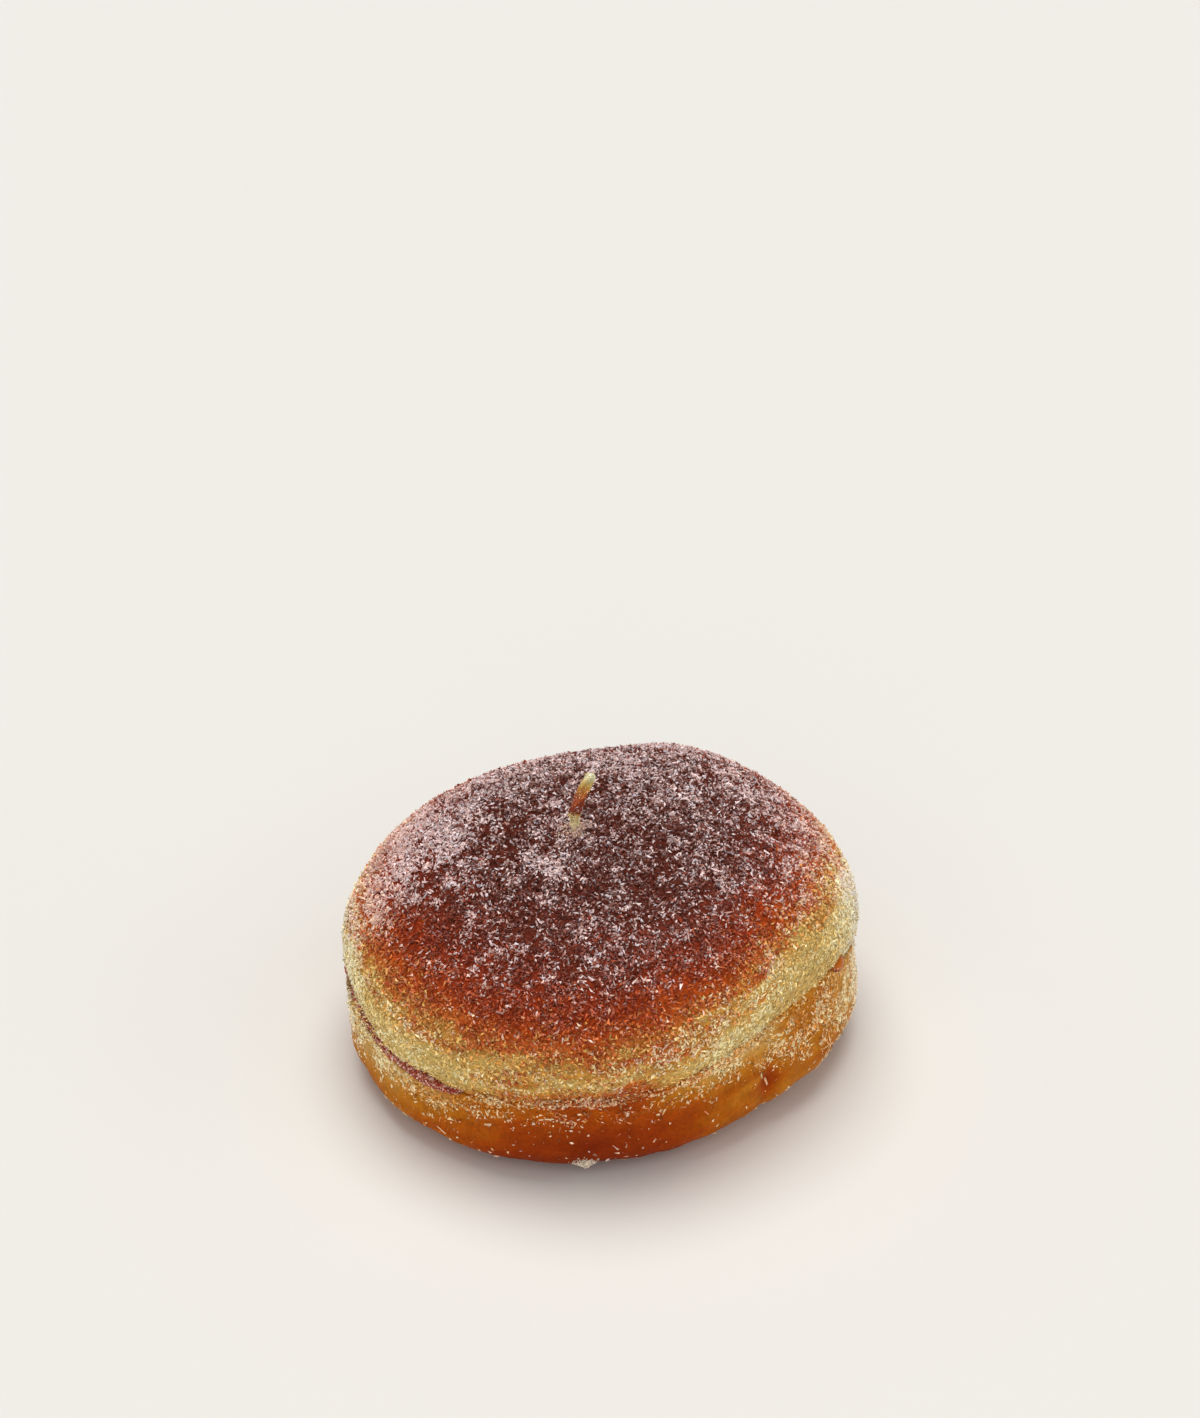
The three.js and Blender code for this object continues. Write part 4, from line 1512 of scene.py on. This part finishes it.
        # painted rim sheen: cooler and milkier grains at the outline's ends
        rim_sheen = spots.facts.get("rim_sheen", np.zeros(count))
        cool = np.clip(cool + rim_sheen * rng.uniform(*self.rim_sheen_cool, count), 0, 1)
        milky = self.rim_sheen_milky * rim_sheen + spots.facts.get("milky", np.zeros(count))
        cloudy = rng.uniform(0, 1, count) < np.clip(frost + kind.whiter, 0.05, 0.95)
        # bright grains: partly whiter sugar, partly painted glints
        bright = rng.uniform(0, 1, count) < self.bright_and_glint_share * np.clip(frost, 0, 1.4)
        mid = np.where(bright, rng.beta(*self.bright_and_glint_white, count), rng.beta(*self.dull_white, count))
        white = np.where(cloudy, mid, rng.beta(*self.clear_white, count))
        white = white + self.pale_milky * np.clip(2 - 4 * brown, 0, 1) + milky
        return {
            "brown": brown[:, None] + 0 * uneven,
            "gain": gain[:, None] * np.exp(0.2 * uneven),
            "frost": np.clip(white[:, None] + 0.1 * uneven, 0, 1),
            "cool": cool[:, None] + 0 * uneven,
        }

    def strew(self, name: str, kind: GrainKind, spots: Spots, frost: Array, look: Material) -> None:
        """Makes a piece of grains of one kind.

        Args:
            name: The piece's name.
            kind: The kind of grain.
            spots: Where they lie.
            frost: How white they are on the whole at each spot.
            look: Their material.
        """
        facts = self.coloured(spots, frost, kind)
        grains(name, kind.form, kind.bodies(spots, self.rng), facts, look)

    def dust_halves(self) -> None:
        """Strews both halves."""
        names = ("shards", "crystals", "splinters", "dust")
        kinds = (self.shard, self.crystal, self.splinter, self.dust)
        for where, half, look, counts in (
            ("top", self.top, self.top_look, self.top_counts),
            ("base", self.base, self.base_look, self.base_counts),
        ):
            cover = half.cover()
            for name, kind, count in zip(names, kinds, counts):
                spots = half.skin.scatter(count, cover, self.rng)
                self.strew(f"sugar_{where}_{name}", kind, spots, half.frost(spots), look)

    def fill_crease(self) -> None:
        """Heaps sugar under the top's lip, on the base."""
        shape, count = self.top.shape, self.crease_count
        angle = directions(self.top.columns)[None]
        share = np.linspace(0, 1, self.crease_rows)[:, None]
        low = shape.base_lip_point(angle, np.full((1, 1), self.crease_low_turn))
        high = shape.top_lip_point(angle, np.full((1, 1), self.crease_high_turn))
        points = lerp(low, high, share[..., None])
        swell = self.crease_swell * np.sin(np.pi * share) ** 0.7 + 0 * angle
        push_out(points, swell)
        brown = self.crease_brown + self.crease_browner.at(angle) + 0 * share
        skin = Skin(points, {"brown": brown, "swell": swell})
        along = self.crease_cover.at(angle) * (0.4 + 0.6 * np.sin(np.pi * share))
        clumps = np.clip(0.5 + 2.0 * self.top.lumps.at(points + 9, 2.6), 0.2, 2)
        spots = skin.scatter(count, along * clumps, self.rng)
        sunk = spots.facts["swell"] * self.rng.uniform(-0.2, 0.9, count)
        spots.place -= spots.out * sunk[:, None]
        frost = self.crease_frost + 0.25 * self.top.lumps.at(spots.place - 25, 2.6)
        self.strew("sugar_in_crease", self.small, spots, frost, self.base_look)

    def dust_jelly(self) -> None:
        """Strews the jelly where it shows."""
        skin, count = self.jelly.skin, self.jelly_count
        look = SugarFinish("sugar_on_jelly", JELLY_TONE, self.tints, self.whites).make()
        clumps = np.clip(0.8 + 1.2 * self.top.lumps.at(skin.points + 3, 1.8), 0.1, 2.4)
        clumps = clumps * (1 - skin.facts["thin"]) ** 2 * (1 - 0.95 * skin.facts["bare"])
        spots = skin.scatter(count, skin.facts["shown"] * clumps, self.rng)
        spots.facts["brown"] = np.full(count, self.jelly_brown)
        self.strew("sugar_on_jelly", self.small, spots, np.full(count, self.jelly_frost), look)

    def dust_wick(self) -> None:
        """Strews the wick, thickest on its neck."""
        height = self.wick.skin.facts["height"]
        cover = np.interp(height, [0, 0.02, 0.3, 0.4, 0.9], [0, 1, 1, 0.45, 0.3])
        spots = self.wick.skin.scatter(self.wick_count, cover, self.rng)
        up = spots.facts["height"]
        # darker grains at the bend: partly painted shade under the bend
        spots.facts["brown"] = np.interp(up, [0, 0.28, 0.38, 0.6, 0.85], [0.05, 0.1, 0.7, 0.45, 0.0])
        spots.facts["calm"] = np.full(self.wick_count, self.wick_calm)
        frost = np.interp(up, [0, 0.3, 0.4], [1.2, 1.1, 0.4])
        self.strew("sugar_on_wick", self.dust, spots, frost, self.top_look)

    def heap(self, name: str, skin: Skin, middle: Array, size: float, look: Material) -> None:
        """Heaps a little sugar in one place.

        Args:
            name: The piece's name.
            skin: The surface that it lies on.
            middle: The heap's middle, in millimetres.
            size: How far the heap spreads.
            look: The grains' material.
        """
        away = ((skin.points - middle) ** 2).sum(-1) / size**2
        count = self.heap_count
        spots = skin.scatter(count, np.exp(-away) * (away < 4), self.rng)
        tall = size * self.heap_tall * np.exp(-((spots.place - middle) ** 2).sum(-1) / size**2)
        spots.place += spots.out * (tall * self.rng.uniform(0, 1, count))[:, None]
        spots.facts["brown"] = np.full(count, self.heap_brown)
        self.strew(name, self.dust, spots, np.full(count, self.heap_frost), look)

    def build(self) -> None:
        """Makes all the sugar."""
        self.rng = np.random.default_rng(self.seed)
        self.top_look = SugarFinish("sugar_on_top", TOP_BAKE, self.tints, self.whites).make()
        self.base_look = SugarFinish("sugar_on_base", BASE_BAKE, self.base_tints, self.base_whites).make()
        self.dust_halves()
        self.fill_crease()
        self.dust_jelly()
        clump = self.base.shape.base_edge_point(*np.radians(self.clump_at))
        clumped = SugarFinish("sugar_clumped", BASE_BAKE, self.clump_tints, self.clump_whites).make()
        self.heap("sugar_clump_front", self.base.skin, clump, self.clump_size, clumped)
        foot = np.array([*self.wick.foot, self.wick.foot_height()])
        self.heap("sugar_round_wick", self.top.skin, foot, self.heap_size, self.top_look)
        self.dust_wick()


# ---- Studio


@dataclass(frozen=True)
class Lamp:
    """A soft far light: its strength, its width in degrees, how far from overhead and from where."""

    name: str
    strength: float
    width: float
    tilt: float
    comes_from: float


@dataclass
class Studio:
    """Plain pale floor, soft light and the camera."""

    aim: tuple[float, float, float] = (0.0, 0.0, 22.0)
    distance: float = 700.0
    elevation: float = 36.93
    pitch_up: float = 3.28
    sideways: float = 0.47
    lens: float = 101.88
    sensor: float = 36.0
    clip: tuple[float, float] = (0.01, 20)
    floor_side: float = 60.0
    sky: Colour = (242, 247, 255)
    sky_strength: float = 0.22
    lamps: tuple[Lamp, ...] = (
        Lamp("key", 2.1, 46, 12, 100),
        Lamp("fill", 0.9, 70, 56, 262),
        Lamp("right", 0.5, 60, 62, 345),
        Lamp("left", 0.2, 60, 62, 190),
    )

    def floor(self) -> None:
        """Lays the floor."""
        mesh = bpy.data.meshes.new("floor")
        half = self.floor_side / 2
        corners = [(-half, -half, 0), (half, -half, 0), (half, half, 0), (-half, half, 0)]
        mesh.from_pydata(corners, [], [(0, 1, 2, 3)])
        made = bpy.data.objects.new("floor", mesh)
        made.data.materials.append(FloorFinish().make())
        bpy.context.scene.collection.objects.link(made)

    def lights(self) -> None:
        """Sets the sky, a key light high behind, a fill from in front and a weak light on each side."""
        world = bpy.data.worlds.new("studio")
        world.use_nodes = True
        back = world.node_tree.nodes["Background"]
        back.inputs["Color"].default_value = seen(self.sky)
        back.inputs["Strength"].default_value = self.sky_strength
        bpy.context.scene.world = world
        for lamp in self.lamps:
            data = bpy.data.lights.new(lamp.name, "SUN")
            data.energy = lamp.strength
            data.angle = np.radians(lamp.width)
            made = bpy.data.objects.new(lamp.name, data)
            made.rotation_euler = (np.radians(lamp.tilt), 0, np.radians(lamp.comes_from + 90))
            bpy.context.scene.collection.objects.link(made)

    def camera(self) -> None:
        """Stands the camera in front of the doughnut."""
        tilt = np.radians(self.elevation)
        away = self.distance * np.array([0, -np.cos(tilt), np.sin(tilt)])
        place = np.array(self.aim) + AXIS + away + [self.sideways, 0, 0]
        data = bpy.data.cameras.new("camera")
        data.lens = self.lens
        data.sensor_width = self.sensor
        data.clip_start, data.clip_end = self.clip
        made = bpy.data.objects.new("camera", data)
        made.location = place * MM
        made.rotation_euler = (np.radians(90 - self.elevation + self.pitch_up), 0, 0)
        bpy.context.scene.collection.objects.link(made)
        bpy.context.scene.camera = made

    def build(self) -> None:
        """Sets up the studio."""
        bpy.context.scene.view_settings.view_transform = "Standard"
        self.floor()
        self.lights()
        self.camera()


def main() -> None:
    """Builds the doughnut, its sugar and the studio."""
    logging.basicConfig(level=logging.INFO, format="%(message)s")
    top, base, jelly, wick = Top(SHAPE), Base(SHAPE), Jelly(SHAPE), Wick(SHAPE)
    for part in (top, base, jelly, wick):
        part.build()
    Sugar(top, base, jelly, wick).build()
    Studio().build()
    bpy.context.view_layer.update()


if __name__ == "__main__":
    main()
